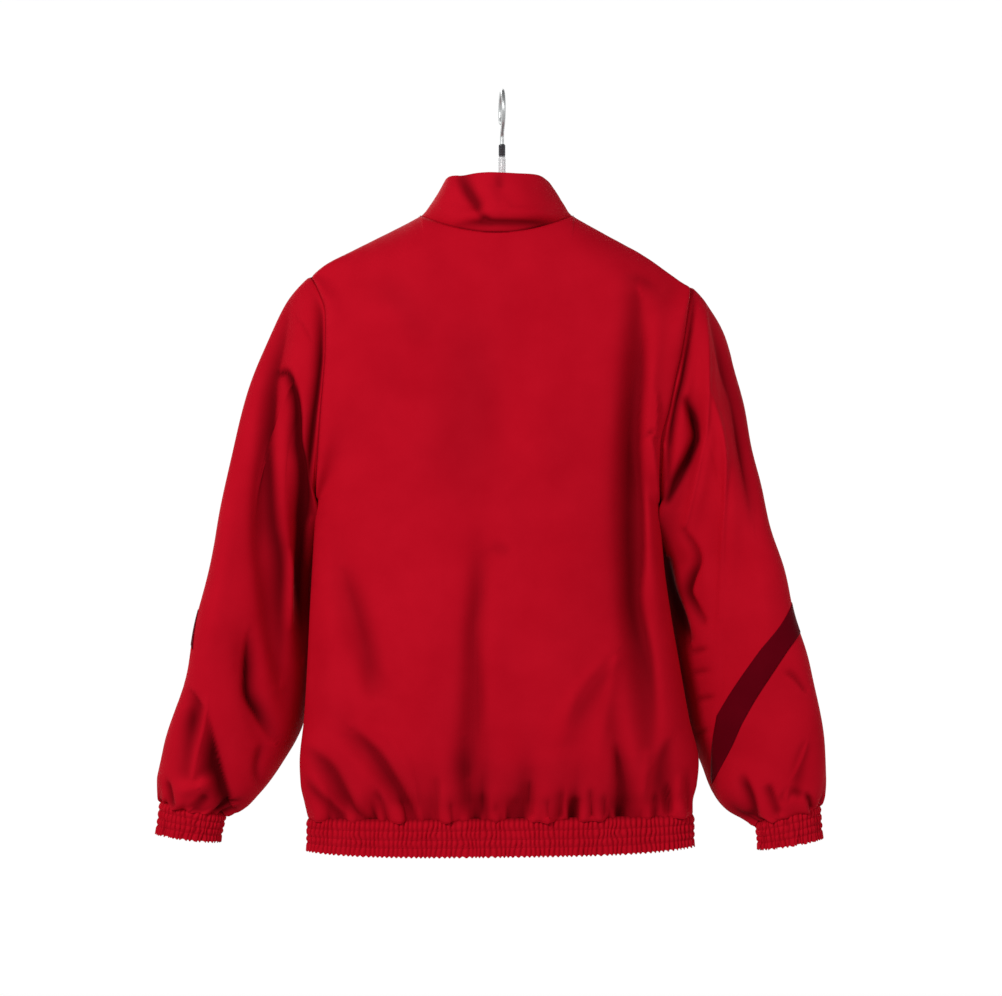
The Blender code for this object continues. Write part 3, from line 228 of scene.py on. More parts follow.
# Diagonal strips
BAND_START = {"left": (-8 / 24, -2 / 24), "right": (-2 / 24, 6 / 24)}
BAND_POINT = {"left": (0.3415, -0.5712), "right": (-0.3148, -0.5835)}
BAND_RUN = {"left": (-0.507, -0.862), "right": (0.507, -0.862)}
BAND_WIDTH = 0.0262
BAND_BOW = (
    # height, how far towards the body
    (-0.560, 0.0),
    (-0.590, 0.001),
    (-0.624, 0.0075),
    (-0.668, 0.0098),
    (-0.702, 0.0075),
    (-0.730, 0.0020),
    (-0.775, -0.0040),
)
BAND_LIFT = 0.0007
BAND_WALL = 0.0008
# How much painted shade darkens a sleeve where it hangs close beside the body
BESIDE_BODY_SHADE = 0.6

# Main folds, as in the solids: x and z of three points, half width and depth, in metres
BACK_FOLDS = (
    (-0.1523, -0.244, -0.1400, -0.456, -0.1669, -0.735, 0.015, -0.012),
    (-0.1714, -0.265, -0.1635, -0.433, -0.1770, -0.568, 0.010, 0.006),
    (0.0213, -0.510, 0.0314, -0.657, 0.0347, -0.818, 0.013, -0.008),
    (0.1803, -0.528, 0.1624, -0.601, 0.1310, -0.680, 0.015, -0.007),
    (0.1725, -0.713, 0.1277, -0.764, 0.0974, -0.812, 0.011, -0.008),
    (0.2050, -0.753, 0.1758, -0.788, 0.1523, -0.812, 0.009, -0.005),
    (-0.1254, -0.629, -0.0930, -0.663, -0.0650, -0.725, 0.012, 0.006),
    (-0.1232, -0.680, -0.1322, -0.747, -0.1378, -0.810, 0.012, -0.007),
    (-0.0314, -0.747, -0.0319, -0.780, -0.0325, -0.812, 0.010, -0.005),
)
FRONT_FOLDS = (
    (0.1500, -0.260, 0.1380, -0.450, 0.1600, -0.720, 0.015, -0.010),
    (-0.1450, -0.280, -0.1330, -0.480, -0.1500, -0.740, 0.015, -0.011),
    (0.0700, -0.600, 0.0840, -0.700, 0.0900, -0.812, 0.013, -0.007),
    (-0.0600, -0.560, -0.0760, -0.690, -0.0820, -0.812, 0.013, -0.007),
    (0.1850, -0.700, 0.1500, -0.760, 0.1250, -0.812, 0.011, -0.006),
    (-0.1800, -0.690, -0.1480, -0.750, -0.1200, -0.812, 0.011, -0.006),
)
SLEEVE_FOLDS = {
    "left": (
        (0.2352, -0.240, 0.2621, -0.389, 0.2420, -0.666, 0.011, -0.009),
        (0.2400, -0.380, 0.2420, -0.470, 0.2330, -0.580, 0.009, 0.005),
        (0.2856, -0.612, 0.2800, -0.669, 0.2632, -0.730, 0.012, -0.006),
        (0.3472, -0.666, 0.3237, -0.725, 0.3035, -0.792, 0.012, -0.008),
    ),
    "right": (
        (-0.2130, -0.330, -0.2150, -0.390, -0.1950, -0.470, 0.011, -0.009),
        (-0.2274, -0.253, -0.2262, -0.377, -0.2060, -0.500, 0.010, 0.006),
        (-0.2330, -0.333, -0.2453, -0.389, -0.2460, -0.590, 0.009, 0.004),
        (-0.2400, -0.273, -0.2600, -0.364, -0.2790, -0.467, 0.012, -0.007),
    ),
}

# Painted shade, cloth down in a fold painted darker: the depth at which it loses most light, in metres,
# and how much
SHADES = {
    "body_folds": (0.012, 0.30),
    "body_creases": (0.006, 0.48),
    "body_pleats": (0.004, 0.60),
    "sleeve_folds": (0.012, 0.35),
    "sleeve_creases": (0.0065, 0.80),
    "sleeve_pleats": (0.004, 0.62),
    "gathers": (0.0022, 0.65),
    "collar": (0.004, 0.6),
}

# Pleats above a gathered band, narrow and wide ones: spacing, height and reach
PLEATS = {
    "body": ((0.0090, 0.0030, 0.022), (0.0260, 0.0045, 0.060)),
    "sleeve": ((0.0080, 0.0026, 0.020), (0.0230, 0.0042, 0.045)),
}


def creases(text):
    """The rows of a table of creases. Lines that start with # are notes."""
    lines = [line.split("|") for line in text.strip().splitlines() if not line.startswith("#")]
    return [
        ([tuple(map(float, pixel.split(","))) for pixel in pixels.split()], *map(float, rest.split()))
        for pixels, rest in lines
    ]


# Creases: pixels that each runs through, half width in pixels at its start and end, height in
# millimetres (a trough's is negative), how strong it is at its start and at its end, and its lean:
# above 0 the crease is sharp on its right as it runs down the picture, below 0 on its left
BACK_CREASES = creases("""
480,300 470,400 470,520 | 44 40 -1.3 0.2 0.2 0
368,300 370,380 372,450 | 28 28 1.4 0.1 0.1 0
545,300 548,420 540,540 | 30 30 1.5 0.1 0.1 0
360,280 400,300 425,350 | 22 20 -1 0.3 0.1 0
634,277 646,279 656,284 | 8 7 -1.6 0.6 0.6 0
420,570 425,650 425,730 | 26 26 2.2 0.1 0.4 0
555,545 560,600 556,640 | 28 28 2 0.1 0.1 0
328,600 330,660 332,720 | 13 13 1.6 0.1 0.1 0
# the long trough beside the right armhole
640,300 641,360 638,409 638,450 640,500 640,560 638,603 650,660 654,710 652,758 | 9 11 -4.4 0.45 0.2 0.6
637,430 638,480 641,530 638,580 | 14 14 -1 0.1 0.1 0.6
658,392 658,415 657,434 | 3 3 2.4 0.3 0.9 0.5
647,436 653,433 659,441 | 2.6 2.6 -2.4 0.5 0.9 0
653,443 657,462 661,492 662,516 | 3 3 2.2 0.9 0.3 0.5
# the middle of the back
484,548 480,594 474,634 478,700 470,768 | 8 11 -2.2 0.1 0.5 0.4
465,745 468,790 474,823 | 12 6 -2.6 0.3 1 0.5
492,552 500,548 510,556 | 6 6 -1.2 0.5 0.3 0
# lower left
341,564 356,610 366,650 372,705 | 9 12 -2.2 0.1 0.1 -0.4
354,733 379,755 398,784 410,806 416,822 | 7 8 -4.2 0.3 1 0.5
372,728 390,738 408,770 420,818 | 6 6 1.8 0.1 0.6 0
306,752 330,772 346,798 366,824 | 8 7 -3.6 0.3 1 0.5
302,783 318,800 338,820 | 6 5 -2.8 0.3 1 0.3
375,790 382,806 386,822 | 4 4 -2.6 0.2 1 0.4
399,800 402,812 404,823 | 3 3 -1.6 0.3 1 0
437,776 438,800 437,822 | 3.5 4 -2 0.1 1 0.4
449,802 451,823 | 3 3 -1.8 0.2 1 -0.4
483,794 487,823 | 3 3 -2.2 0.2 1 0.3
496,806 499,823 | 3 2.5 -2 0.3 1 0
# lower right
530,780 531,816 | 4 4 -2.6 0.2 1 0.3
515,800 513,820 | 3 3 -1.8 0.2 1 0
546,798 548,818 | 3 3 -2 0.2 1 -0.3
562,790 561,817 | 4 4 -2.2 0.2 1 0.3
576,798 576,818 | 5 5 -3.2 0.2 1 0
590,788 592,816 | 4 4 -2.4 0.2 1 -0.3
604,796 605,815 | 3 3 -2.2 0.3 1 0
615,655 600,672 582,694 568,730 | 8 12 -1.8 0.4 0.1 -0.5
616,657 610,700 598,760 | 5 10 1.2 0.6 0.1 0
615,742 618,775 624,816 | 4 12 -4.4 0.1 1 -0.6
674,738 665,760 660,800 | 6 12 -3 0.1 0.6 -0.3
650,756 647,780 645,812 | 6 5 2 0.5 0.8 0
656,796 657,815 | 3 3 -2 0.3 1 0
669,788 671,815 | 3 3 -2.4 0.3 1 0.3
681,780 682,813 | 3.5 3.5 1.6 0.3 1 0
690,776 690,812 | 4 4 -2.2 0.3 1 0
""")
SLEEVE_CREASES = {
    "left": creases("""
# the outer fold, from the shoulder down
287,293 281,326 273,376 272,409 272,459 276,520 281,560 282,620 281,679 | 7 8 -2.6 0.4 0.2 0.6
# the hooked fold beside it
281,370 288,373 294,386 298,409 299,442 303,470 303,520 301,570 301,620 300,655 | 4 8 -4.2 0.7 0.2 0.4
288,552 288,590 289,628 | 3 3 2 0.3 0.3 0
# beside the back's edge
317,292 321,311 323,335 323,360 321,385 317,417 313,459 309,515 | 5 6.5 -3.4 0.3 0.5 0.6
292,313 303,325 312,342 | 1.6 1.6 -0.7 0.3 0.3 0
250,634 248,668 248,695 259,716 272,740 | 5 7 -3 0.2 0.3 -0.6
192,694 205,714 213,742 220,770 229,801 | 6 9 -4.2 0.3 0.8 0.85
188,705 194,730 197,752 198,768 | 8 15 -3 0.2 0.9 0.3
212,782 196,786 178,790 | 8 8 2.2 0.3 0.4 0
236,400 228,500 218,600 205,660 | 11 11 1.8 0.1 0.1 0
164,782 168,792 171,804 | 4 4 -2.6 0.3 1 0
204,794 200,802 194,808 | 5 5 -3 0.3 1 -0.4
240,804 226,809 212,818 | 3 4 -2.6 0.3 1 0
262,745 256,770 258,790 | 5 4 -1.6 0.2 0.4 0
"""),
    "right": creases("""
694,300 690,328 686,351 681,380 674,406 669,440 667,480 | 3.5 4 -2.6 0.3 0.4 -0.5
687,402 694,420 697,438 690,456 680,474 667,500 | 5 6 -4.4 0.5 0.7 0
706,300 706,380 705,426 701,446 696,476 687,522 | 5 4 2.2 0.1 0.4 0.5
708,393 715,412 720,429 724,452 725,480 723,560 722,618 | 2.8 3 2.2 0.3 0.3 0.2
686,532 697,548 700,562 693,580 690,594 697,608 704,620 | 4 5 -3 0.4 0.5 0.3
668,562 672,590 680,614 690,640 | 8 7 -5 0.6 0.4 0.5
690,528 706,560 710,610 | 9 9 1.6 0.2 0.2 0
709,303 715,335 727,372 737,400 742,440 747,478 752,520 | 6 9 -2.2 0.2 0.2 -0.5
693,655 706,650 | 3 3 -1.4 0.5 0.5 0
694,676 708,672 | 3 3 -1.2 0.5 0.5 0
698,703 713,699 | 3 3 -1.4 0.5 0.5 0
699,738 709,733 | 3 3 -1.2 0.5 0.5 0
784,671 794,677 805,689 | 3.5 3 -1.8 0.4 0.9 -0.4
758,560 766,620 760,700 | 14 14 1.8 0.1 0.1 0
808,740 800,764 798,790 | 7 6 -1.8 0.1 0.5 -0.3
784,800 792,793 800,795 | 4 4 -2.4 0.6 0.6 0
808,796 812,803 813,812 | 3 3 -2.6 0.5 1 0
742,775 752,797 757,816 | 5 5 -2.6 0.1 1 0.4
768,784 774,800 779,812 | 4 4 -2.4 0.1 1 0.3
"""),
}
COLLAR_CREASES = creases("""
459,177 466,190 475,204 484,218 | 8 5 -4.8 0.9 0.9 -0.3
436,206 447,192 452,180 | 8 8 2.2 0.1 0.6 0
478,180 492,196 500,210 | 7 6 1.6 0.4 0.3 0
500,178 501,188 | 6 5 -2 0.9 0.4 0
503,200 510,210 | 6 6 1.6 0.5 0.5 0
458,219 480,212 505,210 532,212 566,216 | 6 6 2.6 0.2 0.2 0
458,225 490,223 518,223 568,222 | 5 5 -4.6 0.3 0.3 0
545,190 540,205 535,214 | 14 14 1.8 0.3 0.3 0
""")

# Zip
ZIP_GAP = 0.0045
CHAIN_TOP_Z = -0.1560
ZIP_BOX_HEIGHT = 0.009
TAPE_INNER_X = 0.0006
TAPE_OUTER_X = 0.0120
TAPE_WALL = 0.0007
TOOTH_PITCH = 0.0026
STITCH_PITCH = 0.0034
STITCH_LIFT = 0.00025
STITCH_RADIUS = 0.00034
TOOTH_OUT = 0.0027
TOOTH_IN = 0.0007
TOOTH_SINK = 0.0004
TOOTH_RADIUS = 0.00085

# Studio
FLOOR_Z = -1.30
STAGE_RADIUS = 5.2
STAGE_COVE = 0.9
STAGE_HEIGHT = 4.5
STAGE_MIDDLE_RADIUS = 1.5
STAGE_SIDES = 96
WORLD_LIGHT = 0.01
ROOM_GLOW = 0.38
BACKDROP_GLOW = 1.00
LIGHTS = (
    # name, place, aim, size, power
    ("key", (1.75, 2.4, 1.0), (0, 0, -0.45), 0.9, 54.0),
    ("fill", (-2.2, 2.4, 0.4), (0, 0, -0.5), 1.6, 15.0),
    ("front", (0.6, -1.6, 0.9), (0, 0, -0.45), 1.0, 14.0),
)

# Hanger
HOOK_WIRE = 0.0046
HOOK_RADIUS = 0.0220
HOOK_TIP_TURN = 218.0
HOOK_FOOT_TURN = -48.0
HOOK_YAW = 85.0
HOOK_SHANK_TOP_Z = -0.0500
HOOK_LEAVE = 0.020
SHANK_ARRIVE = 0.018
FERRULE_TOP_Z = -0.0575
FERRULE_BOTTOM_Z = -0.0712
FERRULE_RADIUS = 0.0038
FERRULE_RING_PITCH = 0.0019
NECK_POST_RADIUS = 0.0040
ARM_REACH_LEFT = 0.2040
ARM_REACH_RIGHT = -0.1980
ARM_CLEARANCE = 0.0018
NECK_SIDE_ROOM = 0.0018
NECK_SIDE_RUN = 0.020
ARM_HALF_DEPTH = 0.0055
ARM_HALF_HEIGHT = 0.0085
HANGER_MIDDLE_Z = -0.1130


# ---------------------------------------------------------------- shapes shared with the solids


def curve_at(knots, values, at):
    """Values on a smooth curve through the knots, which never overshoots them."""
    knots = np.asarray(knots, float)
    values = np.asarray(values, float)
    if knots[0] > knots[-1]:
        knots = knots[::-1]
        values = values[::-1]
    step = np.diff(knots)
    rise = np.diff(values) / step
    slope = np.zeros_like(values)
    slope[0] = rise[0]
    slope[-1] = rise[-1]
    for k in range(1, len(knots) - 1):
        if rise[k - 1] * rise[k] > 0:
            before = 2 * step[k] + step[k - 1]
            after = step[k] + 2 * step[k - 1]
            slope[k] = (before + after) / (before / rise[k - 1] + after / rise[k])
    at = np.clip(np.asarray(at, float), knots[0], knots[-1])
    k = np.clip(np.searchsorted(knots, at) - 1, 0, len(step) - 1)
    t = (at - knots[k]) / step[k]
    return glide(t, values[k], step[k] * slope[k], values[k + 1], step[k] * slope[k + 1])


def column(table, place):
    return [row[place] for row in table]


def unit(values):
    """The values held between 0 and 1."""
    return np.clip(values, 0, 1)


def bell(values):
    return np.exp(-(values**2))


def length_of(ways):
    return np.linalg.norm(ways, axis=-1, keepdims=True)


def run_along(curve):
    """How far each point of a curve is from its first one, along it."""
    return np.concatenate([[0], np.cumsum(np.linalg.norm(np.diff(curve, axis=0), axis=1))])


def glide(t, start, leave, end, arrive):
    """A place on the smooth curve from start to end that leaves and arrives at these speeds."""
    first = (1 + 2 * t) * (1 - t) ** 2 * start + t * (1 - t) ** 2 * leave
    return first + t**2 * (3 - 2 * t) * end + t**2 * (t - 1) * arrive


def read_off(table, which, at):
    """One column of a table, at places that its first column gives."""
    return curve_at(column(table, 0), column(table, which), at)


def swing(first, last, cos):
    """From last to first and back, as the cosine of a turn runs from -1 to 1 and back."""
    return (first + last) / 2 + (first - last) / 2 * cos


def centre_x(z):
    share = unit((CENTRE_TOP_Z - z) / (CENTRE_TOP_Z - HEM_MIDDLE_Z))
    return CENTRE_TOP_X + (CENTRE_HEM_X - CENTRE_TOP_X) * share


def edge_x(z, side):
    return read_off(EDGE_LINE, COLUMN[side], z)


def armhole_y(z, side, face, power=0.5):
    top = ARM_TOP_Z[side]
    bottom = UNDERARM_Z[side]
    height = np.clip((2 * z - top - bottom) / (top - bottom), -1, 1)
    reach = ARMHOLE_BACK_REACH if face == "back" else ARMHOLE_FRONT_REACH
    return SHOULDER_Y * unit(height) ** 2 + reach * (1 - height**2) ** power


def fold_height(x, z, folds):
    """The sum of the solids' main folds at points of the back view."""
    total = np.zeros(np.broadcast(x, z).shape)
    for x0, z0, x1, z1, x2, z2, half_width, depth in folds:
        t = (z - z0) / (z2 - z0)
        middle = (z1 - z0) / (z2 - z0)
        inside = unit(t)
        bend = (x1 - x0 - middle * (x2 - x0)) / (middle * (middle - 1))
        line = x0 + inside * (x2 - x0) + bend * inside * (inside - 1)
        lean = (x2 - x0) / (z2 - z0)
        across = (x - line) / math.sqrt(1 + lean**2) / half_width
        beyond = (t - inside) * abs(z2 - z0) / (2 * half_width)
        swell = 0.35 + 0.65 * np.sin(math.pi * inside) ** 0.7
        total = total + depth * swell * np.exp(-(across**2) - beyond**2)
    return total


def neck_curve(turn):
    """A point of the neck seam. turn is 0 at the middle of the back and pi at the zip."""
    back = np.cos(turn) > 0
    reach = np.where(back, NECK_BACK_REACH, NECK_FRONT_REACH)
    drop = np.where(
        back,
        NECK_BACK_DROP * np.abs(np.cos(turn)) ** 2,
        NECK_FRONT_DROP * np.abs(np.cos(turn)) ** 1.4,
    )
    x = NECK_X + NECK_HALF_WIDTH * np.sin(turn)
    return np.stack([x, NECK_Y + reach * np.cos(turn), NECK_SIDE_Z - drop], axis=-1)


def top_edge(x, side, face):
    """The y and z of a panel's top edge: the neck seam and then the shoulder seam."""
    away = np.abs(x - NECK_X)
    turn = np.arcsin(np.clip((x - NECK_X) / NECK_HALF_WIDTH, -1, 1))
    neck = neck_curve(turn if face == "back" else math.pi - turn)
    shoulder_z = read_off(SHOULDER_LINE, COLUMN[side], away)
    share = unit((away - NECK_HALF_WIDTH) / 0.1)
    shoulder_y = NECK_Y + (SHOULDER_Y - NECK_Y) * share
    on_neck = away < NECK_HALF_WIDTH - 1e-9
    return np.where(on_neck, neck[..., 1], shoulder_y), np.where(on_neck, neck[..., 2], shoulder_z)


def section_y(share, z, edge, face):
    reach = read_off(BODY_DEPTH, COLUMN[face], z)
    return edge + (SIGN[face] * reach - edge) * np.sqrt(1 - unit(share) ** SECTION_POWER)


def ring_point(side, place, turn):
    table = np.array(SLEEVE_RINGS[side])
    at = np.arange(len(table))
    outer_x, outer_z, inner_x, inner_z, middle_y, half_depth, lean = (
        curve_at(at, table[:, k], place) for k in range(table.shape[1])
    )
    cos = np.sign(np.cos(turn)) * np.abs(np.cos(turn)) ** SLEEVE_SQUARENESS
    sin = np.sign(np.sin(turn)) * np.abs(np.sin(turn)) ** SLEEVE_SQUARENESS
    x = swing(outer_x, inner_x, cos)
    z = swing(outer_z, inner_z, cos)
    return np.stack([x, middle_y + half_depth * sin + lean * cos, z], axis=-1)


def twisted(side, place, turn):
    twist = SLEEVE_TWIST[side]
    return turn + math.radians(float(curve_at(np.arange(len(twist)), twist, place)))


def head_start(side, turn):
    """The armhole's loop."""
    top = ARM_TOP_Z[side]
    bottom = UNDERARM_Z[side]
    z = swing(top, bottom, np.cos(turn))
    back = armhole_y(z, side, "back")
    front = armhole_y(z, side, "front")
    y = np.where(np.sin(turn) > 0, back, front)
    return np.stack([edge_x(z, side), y, z], axis=-1)


# ---------------------------------------------------------------- grids, creases and shells


def seen(pixel, depth):
    """The x and z of a pixel of the picture, on a surface that stands depth in front of the hanger."""
    nearer = 1 - depth / CAMERA_AWAY
    x = (ORIGIN_PIXEL[0] - pixel[0]) * METRES_A_PIXEL
    z = (ORIGIN_PIXEL[1] - pixel[1]) * METRES_A_PIXEL
    return CAMERA_X + (x - CAMERA_X) * nearer, CAMERA_Z + (z - CAMERA_Z) * nearer


def smooth_line(points, steps=6):
    """A smooth line through the points."""
    if len(points) == 2:
        return points
    padded = np.concatenate([[2 * points[0] - points[1]], points, [2 * points[-1] - points[-2]]])
    line = []
    for k in range(len(points) - 1):
        a, b, c, d = padded[k : k + 4]
        for t in np.arange(steps) / steps:
            bend = (2 * a - 5 * b + 4 * c - d) * t**2 + (3 * b - a - 3 * c + d) * t**3
            line.append(b + ((c - a) * t + bend) / 2)
    return np.array(line + [points[-1]])


def crease_height(x, z, table, depth):
    """The sum of the creases at points of the back view, in metres."""
    flat = np.stack([np.broadcast_to(x, z.shape).ravel(), z.ravel()], axis=1)
    total = np.zeros(len(flat))
    for pixels, start_width, end_width, height, start, end, lean in table:
        line = smooth_line(np.array([seen(pixel, depth) for pixel in pixels]))
        reach = 4 * max(start_width, end_width) * METRES_A_PIXEL
        lowest = line.min(axis=0) - reach
        highest = line.max(axis=0) + reach
        inside = np.all((flat > lowest) & (flat < highest), axis=1)
        points = flat[inside]
        if not len(points):
            continue
        way = np.diff(line, axis=0)
        length = np.linalg.norm(way, axis=1)
        from_start = points[:, None] - line[None, :-1]
        along = unit((from_start * way).sum(axis=2) / length**2)
        off = np.linalg.norm(from_start - along[..., None] * way, axis=2)
        near = np.argmin(off, axis=1)
        each = np.arange(len(points))
        before = run_along(line)
        t = (before[near] + along[each, near] * length[near]) / before[-1]
        width = (start_width + (end_width - start_width) * t) * METRES_A_PIXEL
        aside = from_start[each, near]
        turn = way[near, 0] * aside[:, 1] - way[near, 1] * aside[:, 0]
        width = width * (1 + CREASE_LEAN * lean * np.sign(turn))
        rise = np.sin(unit(t / CREASE_END) * math.pi / 2)
        fall = np.sin(unit((1 - t) / CREASE_END) * math.pi / 2)
        strength = (start + (1 - start) * rise) * (end + (1 - end) * fall)
        across = np.exp(-np.abs(off[each, near] / width) ** CREASE_POWER)
        total[inside] += height / 1000 * strength * across
    return total.reshape(z.shape)


def grid_normals(points, closed=False):
    along = np.gradient(points, axis=0)
    if closed:
        across = np.roll(points, -1, axis=1) - np.roll(points, 1, axis=1)
    else:
        across = np.gradient(points, axis=1)
    normals = np.cross(across, along)
    return normals / np.maximum(length_of(normals), 1e-12)


def facing_out(normals, way):
    """The normals, turned to agree with a direction that faces out, one for each point."""
    return normals if np.mean(np.sum(normals * way, axis=2)) > 0 else -normals


def tuck(distance):
    """How far cloth dips beside a seam, which is so far away."""
    return -TUCK * bell(distance / TUCK_WIDTH)


def pucker(along, off, pitch, drift, reach):
    """Small uneven waves along a seam, which is off away, gone on the seam itself."""
    waves = np.sin(along / pitch + 2.0 * np.sin(along / drift))
    return waves * np.exp(-off / reach) * (1 - bell(off / 0.003))


def gathers(along, away, pitch, height, reach, seed, closed_length=None):
    """Uneven pleats that run away from a gathered seam. along and away are distances in metres."""
    dice = np.random.default_rng(seed)
    low, high = along.min(), along.max()
    if closed_length is not None:
        low, high = 0.0, closed_length
    count = int((high - low) / pitch)
    total = np.zeros(along.shape)
    for k in range(count):
        place = low + (k + 0.5 + dice.uniform(-0.35, 0.35)) * (high - low) / count
        width = pitch * dice.uniform(0.30, 0.55)
        tall = height * dice.uniform(0.45, 1.25) * (1 if k % 2 == 0 else -1)
        long = reach * dice.uniform(0.35, 1.3)
        lean = dice.uniform(-0.25, 0.25)
        off = along - place - lean * away
        if closed_length is not None:
            off = (off + closed_length / 2) % closed_length - closed_length / 2
        sharpness = 2.0 if tall > 0 else 1.2
        across = np.exp(-np.abs(off / (width + 0.12 * away)) ** sharpness)
        total += tall * across * np.exp(-((away / long) ** 1.4))
    return total


def all_pleats(along, away, kind, seed, closed_length=None):
    narrow, wide = PLEATS[kind]
    first = gathers(along, away, *narrow, seed, closed_length)
    return first + gathers(along, away, *wide, seed + 1, closed_length)


def shade_of(height, kind):
    """Painted shade for cloth down in a fold, a factor on its colour: 1 in the open, less in a deep
    trough.
    """
    full, most = SHADES[kind]
    return 1 - most * unit(-height / full) ** 1.3


def solid_mesh(name, vertices, faces):
    """A smooth mesh whose faces all look outwards."""
    mesh = bpy.data.meshes.new(name)
    mesh.from_pydata(vertices, [], faces)
    solid = bmesh.new()
    solid.from_mesh(mesh)
    bmesh.ops.recalc_face_normals(solid, faces=solid.faces)
    solid.to_mesh(mesh)
    solid.free()
    mesh.shade_smooth()
    return mesh


def grid_quads(rows, columns, closed):
    spans = columns if closed else columns - 1
    row = np.arange(rows - 1)[:, None]
    col = np.arange(spans)[None, :]
    here = row * columns + col
    beside = row * columns + (col + 1) % columns
    return np.stack([here, beside, beside + columns, here + columns], axis=2).reshape(-1, 4)


def rim_quads(rows, columns, closed):
    """The faces that join the edges of the outer layer to those of the inner one."""
    count = rows * columns
    col = np.arange(columns if closed else columns - 1)
    beside = (col + 1) % columns
    low = (rows - 1) * columns
    rims = [
        np.stack([beside, col, col + count, beside + count], axis=1),
        np.stack([low + col, low + beside, low + beside + count, low + col + count], axis=1),
    ]
    if not closed:
        up = np.arange(rows - 1) * columns
        down = up + columns
        last = columns - 1
        rims.append(np.stack([up, down, down + count, up + count], axis=1))
        right = np.stack([down + last, up + last, up + last + count, down + last + count], axis=1)
        rims.append(right)
    return np.concatenate(rims)


def grain_of(points, closed):
    """The cloth's own coordinates in metres at the corners of each face of the grid."""
    rows, columns = points.shape[:2]
    spans = columns if closed else columns - 1
    width = np.linalg.norm(np.roll(points, -1, axis=1) - points, axis=2)
    along = np.cumsum(width, axis=1) - width
    down = np.zeros((rows, columns))
    down[1:] = np.cumsum(np.linalg.norm(np.diff(points, axis=0), axis=2), axis=0)
    u = along[:, :spans]
    u_next = u + width[:, :spans]
    v = down[:, :spans]
    corners = ((u[:-1], v[:-1]), (u_next[:-1], v[:-1]), (u_next[1:], v[1:]), (u[1:], v[1:]))
    return np.stack([np.stack(pair, axis=-1) for pair in corners], axis=2).reshape(-1, 4, 2)


def shell(
    name, points, material, replaces, wall=WALL, closed=False, facing=None, shade=None
):
    """A thin shell of cloth. Its outer layer is the grid, and its inner one lies a wall behind."""
    rows, columns = points.shape[:2]
    count = rows * columns
    if facing is None:
        facing = grid_normals(points, closed)
    vertices = np.concatenate([points.reshape(-1, 3), (points - facing * wall).reshape(-1, 3)])
    quads = grid_quads(rows, columns, closed)
    rims = rim_quads(rows, columns, closed)
    faces = np.concatenate([quads, quads[:, ::-1] + count, rims])
    mesh = bpy.data.meshes.new(name)
    mesh.from_pydata(vertices.tolist(), [], faces.tolist())
    grain = grain_of(points, closed)
    uv = np.concatenate([grain, grain[:, ::-1], np.zeros((len(rims), 4, 2))])
    mesh.uv_layers.new(name="grain").uv.foreach_set("vector", uv.reshape(-1).astype(np.float32))
    light = np.ones((rows, columns)) if shade is None else np.broadcast_to(shade, (rows, columns))
    keep_shade(mesh, np.concatenate([light.ravel(), light.ravel()]))
    mesh.shade_smooth()
    way = facing.reshape(-1, 3)
    mesh.normals_split_custom_set_from_vertices(np.concatenate([way, -way]).tolist())
    return dress(name, mesh, material, replaces, 0)


def placed(name, data):
    thing = bpy.data.objects.new(name, data)
    bpy.context.scene.collection.objects.link(thing)
    return thing


def keep_shade(mesh, values):
    attribute = mesh.attributes.new("shade", "FLOAT", "POINT")
    attribute.data.foreach_set("value", values.astype(np.float32))


def dress(name, mesh, material, replaces, wall):
    if "shade" not in mesh.attributes:
        keep_shade(mesh, np.ones(len(mesh.vertices)))
    mesh.materials.append(material)
    piece = placed(name, mesh)
    if wall:
        thicken = piece.modifiers.new("Cloth", "SOLIDIFY")
        thicken.thickness = wall
        thicken.offset = -1.0
        thicken.use_even_offset = False
    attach(piece, "jacket")
    if replaces:
        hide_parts(*replaces)
    return piece


def outward(way, points, *more):
    """The grids with their columns in the order that makes their faces look out along way."""
    normals = grid_normals(points)
    flip = np.mean(np.sum(normals * way, axis=2)) < 0
    grids = [grid[:, ::-1] if flip else grid for grid in (points, *more)]
    return grids if more else grids[0]


# ---------------------------------------------------------------- body


def even_run(length, steps):
    """Distances from 0 to length, evenly spaced, and closer together at the end."""
    ends = np.array([0.0064, 0.0042, 0.0026, 0.0015, 0.0007, 0.0])
    middle = np.linspace(0, length - ends[0], steps - len(ends) + 2)
    return np.concatenate([middle, length - ends[1:]])


def softened(places, top_z, top_y, z):
    """The top edge as lower rows feel it, with the corner between neck and shoulder rounded off."""
    apart = (places[:, None] - places[None, :]) / 0.016
    weight = bell(apart) * np.gradient(places)[None, :]
    weight = weight / weight.sum(axis=1, keepdims=True)
    near_neck = bell((places - NECK_HALF_WIDTH) / 0.035)
    blend = near_neck[None, :] * unit((top_z[None, :] - z) / 0.035)
    level = top_z[None, :] + (weight @ top_z - top_z)[None, :] * blend
    return level, top_y[None, :] + (weight @ top_y - top_y)[None, :] * blend


